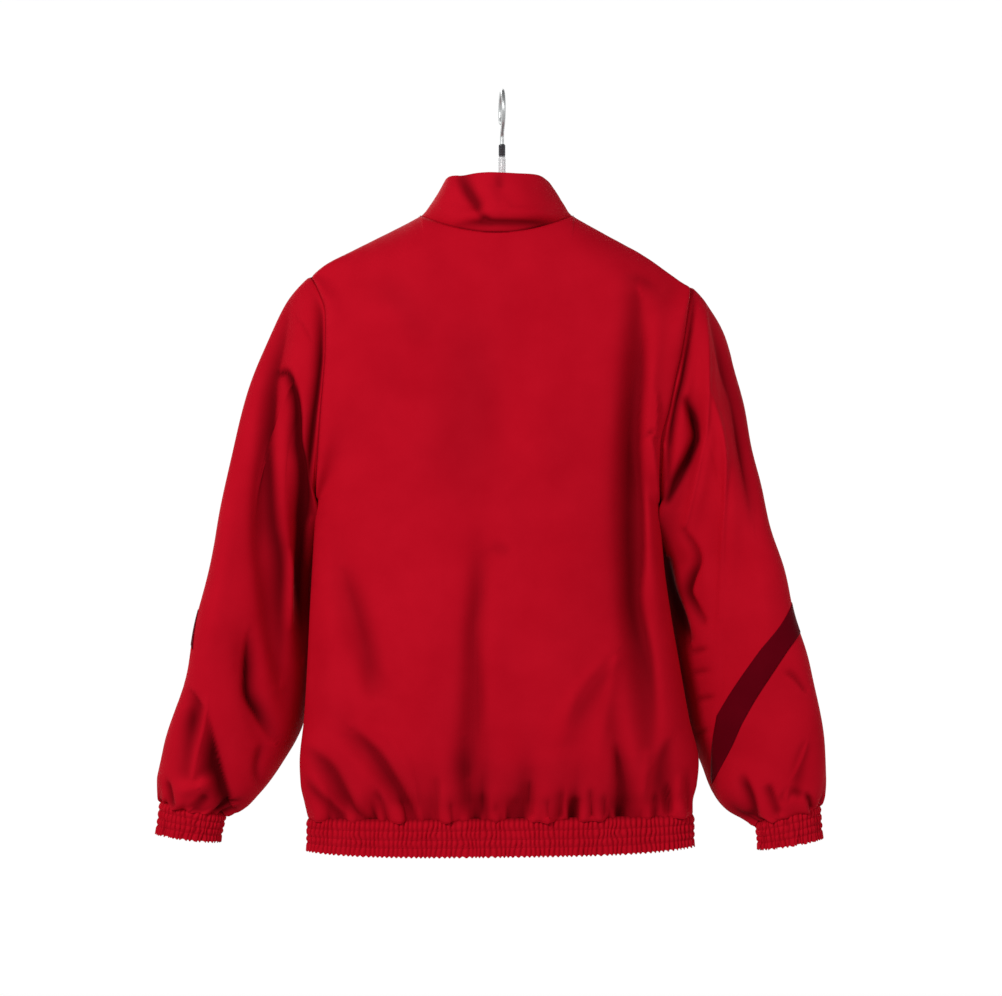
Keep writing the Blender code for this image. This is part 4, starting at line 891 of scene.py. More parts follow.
def half_body(side, face):
    """The grid of half a body face, from its middle line out to its side edge."""
    out = SIGN[side]
    sign = SIGN[face]
    gap = ZIP_GAP if face == "front" else 0.0
    turn = np.linspace(0, math.pi, ARM_STEPS + 1)
    top = ARM_TOP_Z[side]
    bottom = UNDERARM_Z[side]
    arm = swing(top, bottom, np.cos(turn))
    hem = HEM_MIDDLE_Z + HEM_SLOPE * edge_x(HEM_MIDDLE_Z, side)
    below = even_run(bottom - hem, BELOW_STEPS)[1:]
    heights = np.concatenate([arm, bottom - below])
    follow = np.concatenate([(1 + np.cos(turn)) / 2, np.zeros(len(below))])
    ramp = np.concatenate([np.zeros(ARM_STEPS + 1), below / (bottom - hem)])[:, None]
    width = abs(edge_x(top, side) - CENTRE_TOP_X)
    neck = gap + (NECK_HALF_WIDTH - gap) * np.sin(np.linspace(0, math.pi / 2, NECK_STEPS))
    shoulder = NECK_HALF_WIDTH + even_run(width - NECK_HALF_WIDTH, SHOULDER_STEPS)[1:]
    places = np.concatenate([neck, shoulder])
    shares = (places - gap) / (places[-1] - gap)
    top_y, top_z = top_edge(CENTRE_TOP_X + out * places, side, face)
    edge = edge_x(heights, side)[:, None]
    hem_middle = centre_x(HEM_MIDDLE_Z)
    hem_x = hem_middle + shares * (edge[-1] - hem_middle)
    z = heights[:, None] + (top_z - top)[None, :] * follow[:, None]
    z = z + ramp * (HEM_MIDDLE_Z + HEM_SLOPE * hem_x - heights[-1])[None, :]
    middle = centre_x(z)
    x = middle + out * gap + shares[None, :] * (edge - middle - out * gap)
    edge_y = armhole_y(heights, side, face)[:, None]
    soft_y = armhole_y(heights, side, face, SOFT_ARMHOLE_POWER)[:, None]
    across = (x - middle) / (edge - middle)
    near_arm = np.clip((2 * heights - top - bottom) / (top - bottom), -1, 1)
    felt = (0.004 + 0.020 * (1 - near_arm**2))[:, None]
    at_edge = bell((edge - x) / felt)
    y = section_y(across, z, soft_y, face) + (edge_y - soft_y) * at_edge
    level, start_y = softened(places, top_z, top_y, z)
    fall = unit((level - z) / SHOULDER_ROUND)
    round_over = np.sqrt(1 - (1 - fall) ** 2)
    round_over = round_over + (1 - round_over) * shares[None, :] ** SHOULDER_TIP_POWER * (
        1 - bell(fall / 0.04)
    )
    round_over[1:, -1] = 1
    round_over[0] = 0
    y = start_y + (y - start_y) * round_over
    z = np.broadcast_to(z, x.shape).copy()
    to_side = np.abs(edge - x)
    folds = BACK_FOLDS if face == "back" else FRONT_FOLDS
    calm = unit((1 - shares) / EDGE_CALM)[None, :]
    calm = calm * unit((top_z[None, :] - z) / SEAM_CALM)
    hem_calm = unit((1 - ramp) / HEM_CALM)
    if face == "front":
        calm = calm * unit(shares / EDGE_CALM)[None, :]
    main = calm * hem_calm * fold_height(x, z, folds)
    y = y + sign * main
    fine_calm = unit(calm * 3)
    if face == "back":
        fine = BACK_CREASE_GAIN * fine_calm * crease_height(x, z, BACK_CREASES, 0.06)
    else:
        fine = FRONT_CREASE_GAIN * fine_calm * crease_height(-x, z, BACK_CREASES, 0.0)
    y = y + sign * fine
    shade = shade_of(main, "body_folds") * shade_of(fine, "body_creases")
    to_top = top_z[None, :] - z
    to_hem = z - (HEM_MIDDLE_Z + HEM_SLOPE * hem_x)[None, :]
    to_zip = np.broadcast_to(places - gap, x.shape) if face == "front" else np.full(x.shape, 1.0)
    away = np.stack([to_side, to_top, to_hem, to_zip], axis=-1)
    return np.stack([x, y, z], axis=-1), away, shade


def body_relief(points, away, face):
    """Seams, gathers and small puckers, along the normal."""
    to_side, to_top, to_hem, to_zip = np.moveaxis(away, -1, 0)
    x = points[..., 0]
    z = points[..., 2]
    relief = tuck(to_side) + tuck(to_top) + tuck(to_zip) + 1.3 * tuck(to_hem)
    quiet = unit(to_side / 0.012) * unit(to_zip / 0.012)
    seed = 3 if face == "back" else 5
    pleats = quiet * all_pleats(x, to_hem, "body", seed)
    relief = relief + pleats
    relief = relief + SIDE_PUCKER * pucker(z, to_side, 0.0031, 0.019, 0.010)
    relief = relief + TOP_PUCKER * pucker(x, to_top, 0.0042, 0.023, 0.009)
    sway = 0.0008 * np.sin(x / 0.021 + z / 0.043 + 1.5 * np.sin(z / 0.061))
    sway = sway + 0.0007 * np.sin(x / 0.013 - z / 0.033 + 1.1 * np.sin(x / 0.037))
    sway = sway * unit(to_top / 0.04) * unit(to_side / 0.03)
    return relief + sway, shade_of(pleats, "body_pleats")


def finished_panel(name, grid, face, node, material):
    """A panel's cloth, and its grid's first column."""
    points, away, shade = grid
    way = np.array([0, SIGN[face], 0])
    normals = facing_out(grid_normals(points), way)
    relief, pleat_shade = body_relief(points, away, face)
    points = points + normals * relief[..., None]
    edge = points[:, 0].copy()
    points, shade = outward(way, points, shade * pleat_shade)
    return shell(name, points, material, [node], shade=shade), edge


def make_back(material):
    left = half_body("left", "back")
    right = half_body("right", "back")
    whole = [np.concatenate([far[:, :0:-1], near], axis=1) for near, far in zip(left, right)]
    whole[0][:, right[0].shape[1] - 1] = (left[0][:, 0] + right[0][:, 0]) / 2
    return finished_panel("back_panel", whole, "back", "back", material)[0]


def make_front(side, material):
    grid = half_body(side, "front")
    return finished_panel("front_panel_" + side, grid, "front", "front_" + side, material)


# ---------------------------------------------------------------- sleeves


def sleeve_grid(side):
    """The sleeve all round, from the armhole to the cuff seam, and each point's turn."""
    turn = np.arange(2 * ARM_STEPS) * math.pi / ARM_STEPS
    out = np.array([SIGN[side], 1, 1])
    start = head_start(side, turn)
    end = ring_point(side, 0.0, twisted(side, 0.0, turn))
    ahead = ring_point(side, HEAD_LOOK_AHEAD, twisted(side, HEAD_LOOK_AHEAD, turn))
    arrive = (ahead - end) / HEAD_LOOK_AHEAD * HEAD_ARRIVE
    across = np.abs(np.sin(turn))[:, None] ** 1.5
    up = unit(np.cos(turn))[:, None]
    down = unit(-np.cos(turn))[:, None]
    leave = up * np.array(HEAD_LEAVE_TOP) + down * np.array(HEAD_LEAVE_BOTTOM)
    leave = (leave * (1 - across) + across * np.array(HEAD_LEAVE_SIDE)) * out
    length = length_of(end - start)
    arrive = arrive * length / length_of(arrive)
    under_shift = down * np.array([-0.009, 0.010, 0.0]) * out
    rows = []
    turns = []
    for t in (np.arange(HEAD_ROWS) / HEAD_ROWS) ** 1.35:
        turns.append(twisted(side, 0.0, turn) * t + turn * (1 - t))
        rows.append(glide(t, start, leave, end, arrive) + under_shift * math.sin(math.pi * t))
    for ring, steps in enumerate(RING_ROWS):
        for step in range(steps):
            turns.append(twisted(side, ring + step / steps, turn))
            rows.append(ring_point(side, ring + step / steps, turns[-1]))
    turns.append(twisted(side, float(len(RING_ROWS)), turn))
    rows.append(ring_point(side, float(len(RING_ROWS)), turns[-1]))
    return np.array(rows), np.array(turns)


def sleeve_normals(points):
    normals = grid_normals(points, closed=True)
    middle = points.mean(axis=1, keepdims=True)
    return facing_out(normals, points - middle)


def run_down(points):
    """How far each point is from the grid's first row and from its last one, down its column."""
    steps = np.linalg.norm(np.diff(points, axis=0), axis=2)
    from_top = np.concatenate([np.zeros((1, points.shape[1])), np.cumsum(steps, axis=0)])
    return from_top, from_top[-1:] - from_top


def shallow(height, most):
    """Troughs held to less than a depth, so that one layer never passes through the other."""
    most = np.maximum(most, 1e-6)
    return np.where(height < 0, -most * np.tanh(-height / most), height)


def dressed_sleeve(side):
    points, turns = sleeve_grid(side)
    from_armhole, from_cuff = run_down(points)
    back = unit(np.sin(turns)) ** 0.5
    front = unit(-np.sin(turns)) ** 0.5
    calm = unit(from_armhole / 0.025) * unit(from_cuff / 0.020)
    normals = sleeve_normals(points)
    x = points[..., 0]
    z = points[..., 2]
    other = "right" if side == "left" else "left"
    shift = 0.012 * SIGN[side]
    main = back * fold_height(x, z, SLEEVE_FOLDS[side])
    main = main + front * fold_height(shift - x, z, SLEEVE_FOLDS[other])
    mirrored = -np.arange(points.shape[1]) % points.shape[1]
    thick = np.linalg.norm(points - points[:, mirrored], axis=2)
    main = shallow(main, 0.22 * thick)
    points = points + normals * (main * calm)[..., None]
    shade = shade_of(main * calm, "sleeve_folds")
    fine = back * crease_height(x, z, SLEEVE_CREASES[side], 0.03)
    fine = fine + 0.8 * front * crease_height(shift - x, z, SLEEVE_CREASES[other], 0.0)
    fine = shallow(fine, 0.10 * thick)
    calm = unit(from_armhole / 0.006) * unit(from_cuff / 0.004)
    seam_turns = np.array([BACK_SEAM_SHARE, FRONT_SEAM_SHARE]) * 2 * math.pi
    start_turn = np.arange(points.shape[1]) * math.pi / ARM_STEPS
    girth = np.linalg.norm(points - np.roll(points, 1, axis=1), axis=2).sum(axis=1, keepdims=True)
    fine = SLEEVE_CREASE_GAIN * calm * fine
    shade = shade * shade_of(fine, "sleeve_creases")
    # Painted shade on the sleeve below the underarm, close beside the body's edge
    beside = np.exp(-unit(np.abs(x) - np.abs(edge_x(z, side))) / 0.014)
    shade = shade * (1 - BESIDE_BODY_SHADE * beside * unit((-0.42 - z) / 0.08))
    relief = fine + tuck(from_armhole) + 1.3 * tuck(from_cuff)
    for seam, groove in zip(seam_turns, SEAM_GROOVES[side]):
        off = (start_turn - seam + math.pi) % (2 * math.pi) - math.pi
        distance = np.abs(off)[None, :] / (2 * math.pi) * girth
        relief = relief + groove * tuck(distance) * unit(from_armhole / 0.01)
        waves = pucker(from_armhole, distance, 0.0033, 0.021, 0.009)
        relief = relief + SLEEVE_PUCKER * groove * waves
    along = start_turn[None, :] / (2 * math.pi) * girth[-1]
    along = np.broadcast_to(along, relief.shape)
    seed = 21 if side == "left" else 27
    pleats = all_pleats(along, from_cuff, "sleeve", seed, float(girth[-1, 0]))
    relief = relief + pleats
    shade = shade * shade_of(pleats, "sleeve_pleats")
    sway = 0.0008 * np.sin(z / 0.017 + x / 0.031 + 1.3 * np.sin(x / 0.041))
    sway = sway + 0.0007 * np.sin(z / 0.029 - x / 0.015)
    relief = relief + sway * unit(from_armhole / 0.04) * unit(from_cuff / 0.04)
    return points + normals * relief[..., None], shade


def make_sleeve(side, material, strip_material):
    points, shade = dressed_sleeve(side)
    count = points.shape[1]
    back_seam = round(BACK_SEAM_SHARE * count)
    front_seam = round(FRONT_SEAM_SHARE * count)
    middle = points.mean(axis=1, keepdims=True)
    inward = middle[0] - points[0]
    inward /= length_of(inward)
    into_body = np.array([-0.005 * SIGN[side], 0, 0])
    lined = np.concatenate([(points[0] + 0.0024 * inward + into_body)[None], points])
    normals = sleeve_normals(lined)
    # The row tucked in at the armhole gets painted shade, half as bright
    shade = np.concatenate([0.5 * shade[:1], shade])
    pieces = []
    for kind, columns in (
        ("top", np.arange(front_seam, back_seam + 1) % count),
        ("under", np.arange(back_seam, count + front_seam + 1) % count),
    ):
        facing = normals[:, columns]
        part, facing, part_shade = outward(facing, lined[:, columns], facing, shade[:, columns])
        name = f"sleeve_{kind}_{side}"
        pieces.append(
            shell(name + "_cloth", part, material, [name], facing=facing, shade=part_shade)
        )
    first, last = (round(share * count) for share in BAND_START[side])
    columns = np.arange(first, last + 1) % count
    strip = outward((points - middle)[:, columns], points[:, columns])
    pieces.append(make_strip(side, strip, strip_material))
    return pieces


def band_bend(side, z):
    """How far the strip bows from a straight line, at a height."""
    bow = read_off(BAND_BOW, 1, z)
    return bow if side == "right" else 0 * bow


def make_strip(side, points, material):
    """The diagonal strip, cut from the sleeve's own faces by two slanting planes."""
    strip = bmesh.new()
    straight = points.copy()
    straight[..., 0] -= band_bend(side, points[..., 2])
    grid = [[strip.verts.new(place) for place in row] for row in straight]
    for row, below in zip(grid, grid[1:]):
        for col in range(len(row) - 1):
            strip.faces.new((row[col], row[col + 1], below[col + 1], below[col]))
    run = Vector((BAND_RUN[side][0], 0, BAND_RUN[side][1])).normalized()
    up = Vector((-run.z, 0, run.x)) if side == "right" else Vector((run.z, 0, -run.x))
    upper = Vector((BAND_POINT[side][0], 0, BAND_POINT[side][1]))
    lower = upper - up * BAND_WIDTH
    for place, away in ((upper, up), (lower, -up)):
        geometry = list(strip.verts) + list(strip.edges) + list(strip.faces)
        bmesh.ops.bisect_plane(strip, geom=geometry, plane_co=place, plane_no=away, clear_outer=True)
    loose = [vertex for vertex in strip.verts if not vertex.link_faces]
    bmesh.ops.delete(strip, geom=loose, context="VERTS")
    for vertex in strip.verts:
        vertex.co.x += float(band_bend(side, vertex.co.z))
    strip.normal_update()
    for vertex in strip.verts:
        vertex.co += vertex.normal * BAND_LIFT
    name = "sleeve_band_" + side
    mesh = bpy.data.meshes.new(name + "_cloth")
    strip.to_mesh(mesh)
    strip.free()
    mesh.shade_smooth()
    return dress(name + "_cloth", mesh, material, [name], BAND_WALL)


# ---------------------------------------------------------------- gathered bands


def spaced(curve, count):
    length = run_along(curve)
    at = np.linspace(0, length[-1], count)
    return np.stack([np.interp(at, length, curve[:, k]) for k in range(3)], axis=1)


def waist_loop():
    """The plan of the waistband's top edge, from the zip's left side round to its right."""
    z = HEM_MIDDLE_Z
    pieces = []
    fine = np.sin(np.linspace(0, math.pi / 2, 160))
    for side, face, towards_middle in (
        ("left", "front", False),
        ("left", "back", True),
        ("right", "back", False),
        ("right", "front", True),
    ):
        out = SIGN[side]
        gap = ZIP_GAP if face == "front" else 0.0
        width = abs(edge_x(z, side) - centre_x(z))
        away = gap + fine * (width - gap)
        y = section_y(away / width, np.full_like(away, z), 0.0, face)
        x = centre_x(z) + out * away
        piece = np.stack([x, y, HEM_MIDDLE_Z + HEM_SLOPE * x], axis=1)
        pieces.append(piece[::-1] if towards_middle else piece)
    return np.concatenate([pieces[0], pieces[1][1:], pieces[2][1:], pieces[3][1:]])


def slow_noise(count, waves, seed, closed):
    """A smooth uneven line of values from about -1 to 1."""
    dice = np.random.default_rng(seed)
    at = np.arange(count) / count
    total = np.zeros(count)
    for wave in range(1, waves + 1):
        size = dice.uniform(0.4, 1.0)
        total += size * np.sin(2 * math.pi * (wave * at * (1 if closed else 0.93) + dice.uniform()))
    return total / math.sqrt(waves)


def gathered_band(top, bottom, count_gathers, seed, closed):
    """The outer face of a gathered band between two loops, puckered at each row of stitches."""
    columns = top.shape[0]
    share = np.linspace(0, 1, BAND_ROWS)[:, None]
    points = top[None] * (1 - share[..., None]) + bottom[None] * share[..., None]
    normals = grid_normals(points, closed)
    middle = points.mean(axis=(0, 1))
    normals = facing_out(normals, (points - middle) * np.array([1, 1, 0]))
    normals[..., 2] = 0
    normals /= length_of(normals)
    phase = 2 * math.pi * count_gathers * np.arange(columns) / (columns if closed else columns - 1)
    levels = (0.0,) + STITCH_ROWS + (1.0,)
    centres = [(a + b) / 2 for a, b in zip(levels, levels[1:])]
    shifts = np.array([2.2 * slow_noise(columns, 40, seed + k, closed) for k in range(len(centres))])
    heights = np.array(
        [1 + 0.30 * slow_noise(columns, 60, seed + 10 + k, closed) for k in range(len(centres))]
    )
    height = np.zeros((BAND_ROWS, columns))
    flare = np.zeros((BAND_ROWS, columns))
    for row, at in enumerate(share[:, 0]):
        weight = np.array([np.interp(at, centres, one) for one in np.eye(len(centres))])
        shift = weight @ shifts
        tall = np.clip(weight @ heights, 0.4, 1.6)
        ridge = np.abs(np.sin((phase + shift) / 2)) ** 0.9 - 0.6
        near = min(abs(at - level) for level in STITCH_ROWS)
        pinch = bell(near / 0.045)
        ends = bell(at / 0.06)
        height[row] = GATHER_HEIGHT * tall * ridge * (1 - 0.65 * pinch) * (1 - 0.5 * ends)
        height[row] -= 0.0009 * pinch + 0.0009 * ends
        flare[row] = 0.0009 * np.sin(phase + shift + 0.7) * max(0.0, (at - 0.86) / 0.14)
        height[row] += 0.0006 * max(0.0, (at - 0.80) / 0.20)
    if not closed:
        end = np.arange(columns)
        quiet = unit(np.minimum(end, columns - 1 - end) / 20)
        height = height * quiet
        flare = flare * quiet
    points = points + normals * height[..., None]
    points[..., 2] += flare
    return points, normals, shade_of(height, "gathers")


def band_piece(name, node, material, top, bottom, count_gathers, seed, closed):
    """A gathered band, with a short edge that reaches up inside the cloth above it."""
    points, normals, shade = gathered_band(top, bottom, count_gathers, seed, closed)
    edge = points[0] - FLANGE_IN * normals[0] + np.array([0, 0, FLANGE_RUN])
    facing = np.concatenate([normals[:1], normals])
    lined = np.concatenate([edge[None], points])
    # The edge tucked up inside the cloth above gets painted shade, half as bright
    lined, lined_shade = outward(facing, lined, np.concatenate([0.5 * shade[:1], shade]))
    piece = shell(name, lined, material, [node], closed=closed, shade=lined_shade)
    return piece, points, normals


def make_waistband(material):
    columns = WAIST_GATHERS * GATHER_STEPS + 1
    top = spaced(waist_loop(), columns)
    share = np.abs(top[:, 0] - CENTRE_HEM_X)
    drop = WAIST_HEIGHT - WAIST_CORNER_LIFT * (share / share.max()) ** 4
    bottom = top - np.stack([0 * drop, 0 * drop, drop], axis=1)
    name = "waistband_cloth"
    return band_piece(name, "waistband", material, top, bottom, WAIST_GATHERS, 40, False)


def make_cuff(side, material):
    columns = CUFF_GATHERS * GATHER_STEPS
    turn = np.arange(columns) * 2 * math.pi / columns
    top = ring_point(side, float(len(SLEEVE_RINGS[side]) - 1), turn)
    (outer_x, outer_z), (inner_x, inner_z) = CUFF_BOTTOM[side]
    cos = np.cos(turn)
    bottom = np.stack(
        [
            swing(outer_x, inner_x, cos),
            CUFF_Y + CUFF_HALF_DEPTH * np.sin(turn),
            swing(outer_z, inner_z, cos),
        ],
        axis=-1,
    )
    seed = 60 if side == "left" else 80
    node = "cuff_" + side
    return band_piece(node + "_cloth", node, material, top, bottom, CUFF_GATHERS, seed, True)


# ---------------------------------------------------------------- collar


def collar_grid():
    zip_turn = math.asin(ZIP_GAP / NECK_HALF_WIDTH)
    turns = np.linspace(math.pi - zip_turn, -math.pi + zip_turn, 190)
    shares = np.concatenate([np.linspace(0, 0.97, COLLAR_ROWS), [0.98, 0.99, 1.0]])[::-1]
    rows = []
    for share in shares:
        foot = neck_curve(turns)
        reach = np.where(
            np.cos(turns) > 0, COLLAR_TOP_BACK_Y - NECK_Y, NECK_Y - COLLAR_TOP_FRONT_Y
        )
        front = ((1 - np.cos(turns)) / 2) ** 3
        side_drop = COLLAR_SIDE_DROP * np.sin(turns) ** 2
        head = np.stack(
            [
                NECK_X + COLLAR_TOP_HALF_WIDTH * np.sin(turns),
                NECK_Y + reach * np.cos(turns),
                COLLAR_TOP_BACK_Z - side_drop - COLLAR_TOP_FRONT_DROP * front,
            ],
            axis=-1,
        )
        bulge = COLLAR_BULGE * math.sin(math.pi * share)
        roll = COLLAR_ROLL * math.sin(math.pi * min(1.0, share / 0.42)) ** 1.2
        out = np.stack([np.sin(turns), np.cos(turns), 0 * turns], axis=-1)
        back = unit(np.cos(turns))
        hollow = COLLAR_HOLLOW * (1 - share) ** 0.9 * (1 - math.exp(-share / 0.06))
        amount = bulge * back + roll * back**0.8 - hollow * np.abs(np.sin(turns)) ** 3
        rows.append(foot * (1 - share) + head * share + out * amount[:, None])
    points = np.array(rows)
    for place, way in ((0, 1), (-1, -1)):
        points[:, place, 0] = NECK_X + way * ZIP_GAP
    centre = np.array([NECK_X, NECK_Y, 0])
    normals = facing_out(grid_normals(points), (points - centre) * np.array([1, 1, 0]))
    back = unit(np.cos(turns))[None, :] ** 0.5
    fine = back * crease_height(points[..., 0], points[..., 2], COLLAR_CREASES, 0.048)
    relief = fine
    share = shares[:, None]
    relief = relief + 0.7 * tuck(share * 0.06) - 0.0006 * bell((1 - share) / 0.02)
    waves = 0.0009 * np.sin(turns * 9 + 1.2 * np.sin(turns * 3))[None, :] * np.sin(math.pi * share)
    edge_waves = 0.0010 * np.sin(turns * 7 + 0.8)[None, :] * share**2
    calm = unit((math.pi - zip_turn - np.abs(turns)) / 0.25)[None, :]
    points = points + normals * (relief + calm * (waves + edge_waves))[..., None]
    foot = points[-1] - FLANGE_IN * normals[-1] - np.array([0, 0, FLANGE_RUN])
    shade = shade_of(fine, "collar")
    # The foot tucked down inside the neck seam gets painted shade, half as bright
    grids = ((points, foot[None]), (normals, normals[-1:]), (shade, 0.5 * shade[-1:]))
    return [np.concatenate(pair) for pair in grids]


def make_collar(material):
    points, normals, shade = collar_grid()
    ordered, ordered_shade = outward(normals, points, shade)
    piece = shell("collar_cloth", ordered, material, ["collar"], wall=COLLAR_WALL, shade=ordered_shade)
    return piece, points


# ---------------------------------------------------------------- stitches and zip


def surface_point(points, normals, row_share, col_share):
    row = row_share * (points.shape[0] - 1)
    col = col_share * (points.shape[1] - 1)
    r = min(int(row), points.shape[0] - 2)
    c = min(int(col), points.shape[1] - 2)
    a = row - r
    b = col - c
    top = points[r, c] * (1 - b) + points[r, c + 1] * b
    low = points[r + 1, c] * (1 - b) + points[r + 1, c + 1] * b
    return top * (1 - a) + low * a, normals[r, c]


def bead(start, end, normal, radius):
    """A stitch: a small lens of thread between two points."""
    way = end - start
    side = np.cross(way, normal)
    side /= np.linalg.norm(side)
    vertices = [start]
    for share, size in ((0.25, 0.85), (0.5, 1.0), (0.75, 0.85)):
        middle = start + way * share
        for k in range(6):
            turn = k * math.pi / 3
            vertices.append(middle + radius * size * (side * math.cos(turn) + normal * math.sin(turn)))
    vertices.append(end)
    faces = [(0, 1 + (k + 1) % 6, 1 + k) for k in range(6)]
    faces.extend((grid_quads(3, 6, True) + 1).tolist())
    faces.extend((13 + k, 13 + (k + 1) % 6, 19) for k in range(6))
    return vertices, faces


def beads_piece(name, beads, material):
    vertices = []
    faces = []
    for part, part_faces in beads:
        base = len(vertices)
        vertices.extend(tuple(v) for v in part)
        faces.extend(tuple(base + k for k in face) for face in part_faces)
    return dress(name, solid_mesh(name, vertices, faces), material, [], 0)


def band_stitches(name, points, normals, material, closed):
    """Rows of stitches along a gathered band."""
    grid = np.concatenate([points, points[:, :1]], axis=1) if closed else points
    facing = np.concatenate([normals, normals[:, :1]], axis=1) if closed else normals
    length = np.linalg.norm(np.diff(grid[0], axis=0), axis=1).sum() * 0.8
    count = int(length / STITCH_PITCH)
    beads = []
    for row_share in STITCH_ROWS:
        for k in range(count):
            start, normal = surface_point(grid, facing, row_share, (k + 0.10) / count)
            end, _ = surface_point(grid, facing, row_share, (k + 0.82) / count)
            lift = normal * STITCH_LIFT
            if np.linalg.norm(end - start) > 1e-4:
                beads.append(bead(start + lift, end + lift, normal, STITCH_RADIUS))
    return beads_piece(name, beads, material)


def zip_line(collar, front_edge):
    """The line down the middle of the zip, from the collar's top to the waistband's foot."""
    foot = front_edge[-1:] - np.array([0, 0, WAIST_HEIGHT])
    column_points = np.concatenate([collar[:, 0], front_edge[4:], foot])
    middle = column_points - np.array([ZIP_GAP, 0, 0])
    return spaced(middle[np.argsort(-middle[:, 2])], 260)


def zip_facing(line):
    """The way that the zip's face looks at each point of a line down it."""
    way = np.cross(np.gradient(line, axis=0), np.array([1.0, 0, 0]))
    return way / length_of(way) * np.sign(-way[:, 1:2])


def make_zip(line, tape_material, metal):
    top = line[line[:, 2] < CHAIN_TOP_Z]
    across = np.array([1.0, 0, 0])
    out = zip_facing(top)
    facing = zip_facing(line)
    tapes = []
    for side, sign in (("left", 1), ("right", -1)):
        behind = line - facing * (WALL + 0.0004)
        reaches = np.linspace(TAPE_INNER_X, TAPE_OUTER_X, 8)
        points = np.stack([behind[2:-2] + sign * reach * across for reach in reaches], axis=1)
        facing_grid = np.repeat(facing[2:-2, None], len(reaches), axis=1)
        tapes.append(
            shell(
                f"zip_tape_{side}_cloth",
                outward(facing_grid, points),
                tape_material,
                ["zip_tape_" + side],
                wall=TAPE_WALL,
            )
        )
    reach = run_along(top)[-1] - ZIP_BOX_HEIGHT
    count = int(reach / TOOTH_PITCH) * 2
    places = spaced(top, count * 2)
    at = np.linspace(0, 1, len(places))
    outs = np.stack([np.interp(at, np.linspace(0, 1, len(out)), out[:, k]) for k in range(3)], axis=1)
    teeth = []
    run = run_along(places)
    for k in range(count):
        at = k * TOOTH_PITCH / 2
        if at > reach:
            break
        j = int(np.searchsorted(run, at))
        sign = 1 if k % 2 == 0 else -1
        centre = places[j]
        normal = outs[j] / np.linalg.norm(outs[j])
        start = centre + sign * TOOTH_OUT * across - normal * TOOTH_SINK
        end = centre - sign * TOOTH_IN * across - normal * TOOTH_SINK
        teeth.append(bead(start, end, normal, TOOTH_RADIUS))
    piece = beads_piece("zip_teeth", teeth, metal)
    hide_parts("zip_chain")
    return tapes


# ---------------------------------------------------------------- hanger


def ring_round(place, first, second, sides):
    """Points round a place, on the ellipse that two half axes span."""
    turns = 2 * math.pi * np.arange(sides) / sides
    return place + np.outer(np.cos(turns), first) + np.outer(np.sin(turns), second)


def lofted(name, rings, material, replaces):
    """A closed solid through rings of points."""
    count = len(rings)
    sides = len(rings[0])
    vertices = [tuple(place) for ring in rings for place in ring]
    faces = grid_quads(count, sides, True).tolist()
    faces.append(range(sides))
    faces.append(range(count * sides - 1, (count - 1) * sides - 1, -1))
    mesh = solid_mesh(name, vertices, faces)
    mesh.set_sharp_from_angle(angle=math.radians(50))
    return dress(name, mesh, material, replaces, 0)


def arm_top(x):
    side = "left" if x > NECK_X else "right"
    away = abs(x - NECK_X)
    under = float(read_off(SHOULDER_LINE, COLUMN[side], away)) - ARM_CLEARANCE
    if away >= NECK_HALF_WIDTH:
        return under - NECK_SIDE_ROOM * max(0.0, 1 - (away - NECK_HALF_WIDTH) / NECK_SIDE_RUN)
    neck_side = NECK_SIDE_Z - ARM_CLEARANCE - NECK_SIDE_ROOM
    return HANGER_MIDDLE_Z + (neck_side - HANGER_MIDDLE_Z) * (away / NECK_HALF_WIDTH) ** 1.6


def make_hanger(plastic):
    rings = []
    for x in np.linspace(ARM_REACH_RIGHT, ARM_REACH_LEFT, 90):
        reach = ARM_REACH_LEFT if x > 0 else ARM_REACH_RIGHT
        share = abs(x / reach)
        slim = (1 - 0.45 * share**6) * math.sqrt(max(0.02, 1 - (max(0.0, share - 0.985) / 0.015) ** 2))
        away = abs(x - NECK_X)
        middle_y = NECK_Y + (SHOULDER_Y - NECK_Y) * unit((away - NECK_HALF_WIDTH) / 0.1)
        if away < NECK_HALF_WIDTH:
            middle_y = NECK_Y * (away / NECK_HALF_WIDTH) ** 2
        middle_z = arm_top(x) - ARM_HALF_HEIGHT * (1 - 0.45 * share**6)
        half_height = (0, 0, ARM_HALF_HEIGHT * slim)
        half_depth = (0, ARM_HALF_DEPTH * slim, 0)
        rings.append(ring_round(np.array([x, middle_y, middle_z]), half_height, half_depth, 28))
    lofted("hanger_arms", rings, plastic, ["hanger"])
    profile = (
        (0.0030, FERRULE_BOTTOM_Z - 0.0003),
        (NECK_POST_RADIUS * 0.95, FERRULE_BOTTOM_Z - 0.0008),
        (NECK_POST_RADIUS, FERRULE_BOTTOM_Z - 0.0020),
        (NECK_POST_RADIUS, HANGER_MIDDLE_Z + 0.014),
        (NECK_POST_RADIUS * 1.08, HANGER_MIDDLE_Z + 0.006),
        (NECK_POST_RADIUS * 1.30, HANGER_MIDDLE_Z - 0.001),
        (NECK_POST_RADIUS * 1.30, HANGER_MIDDLE_Z - 0.008),
    )
    turned("hanger_neck", profile, plastic, [])


def turned(name, profile, material, replaces):
    rings = [
        ring_round(np.array([0, 0, height]), (radius, 0, 0), (0, radius, 0), 40)
        for radius, height in profile
    ]
    return lofted(name, rings, material, replaces)


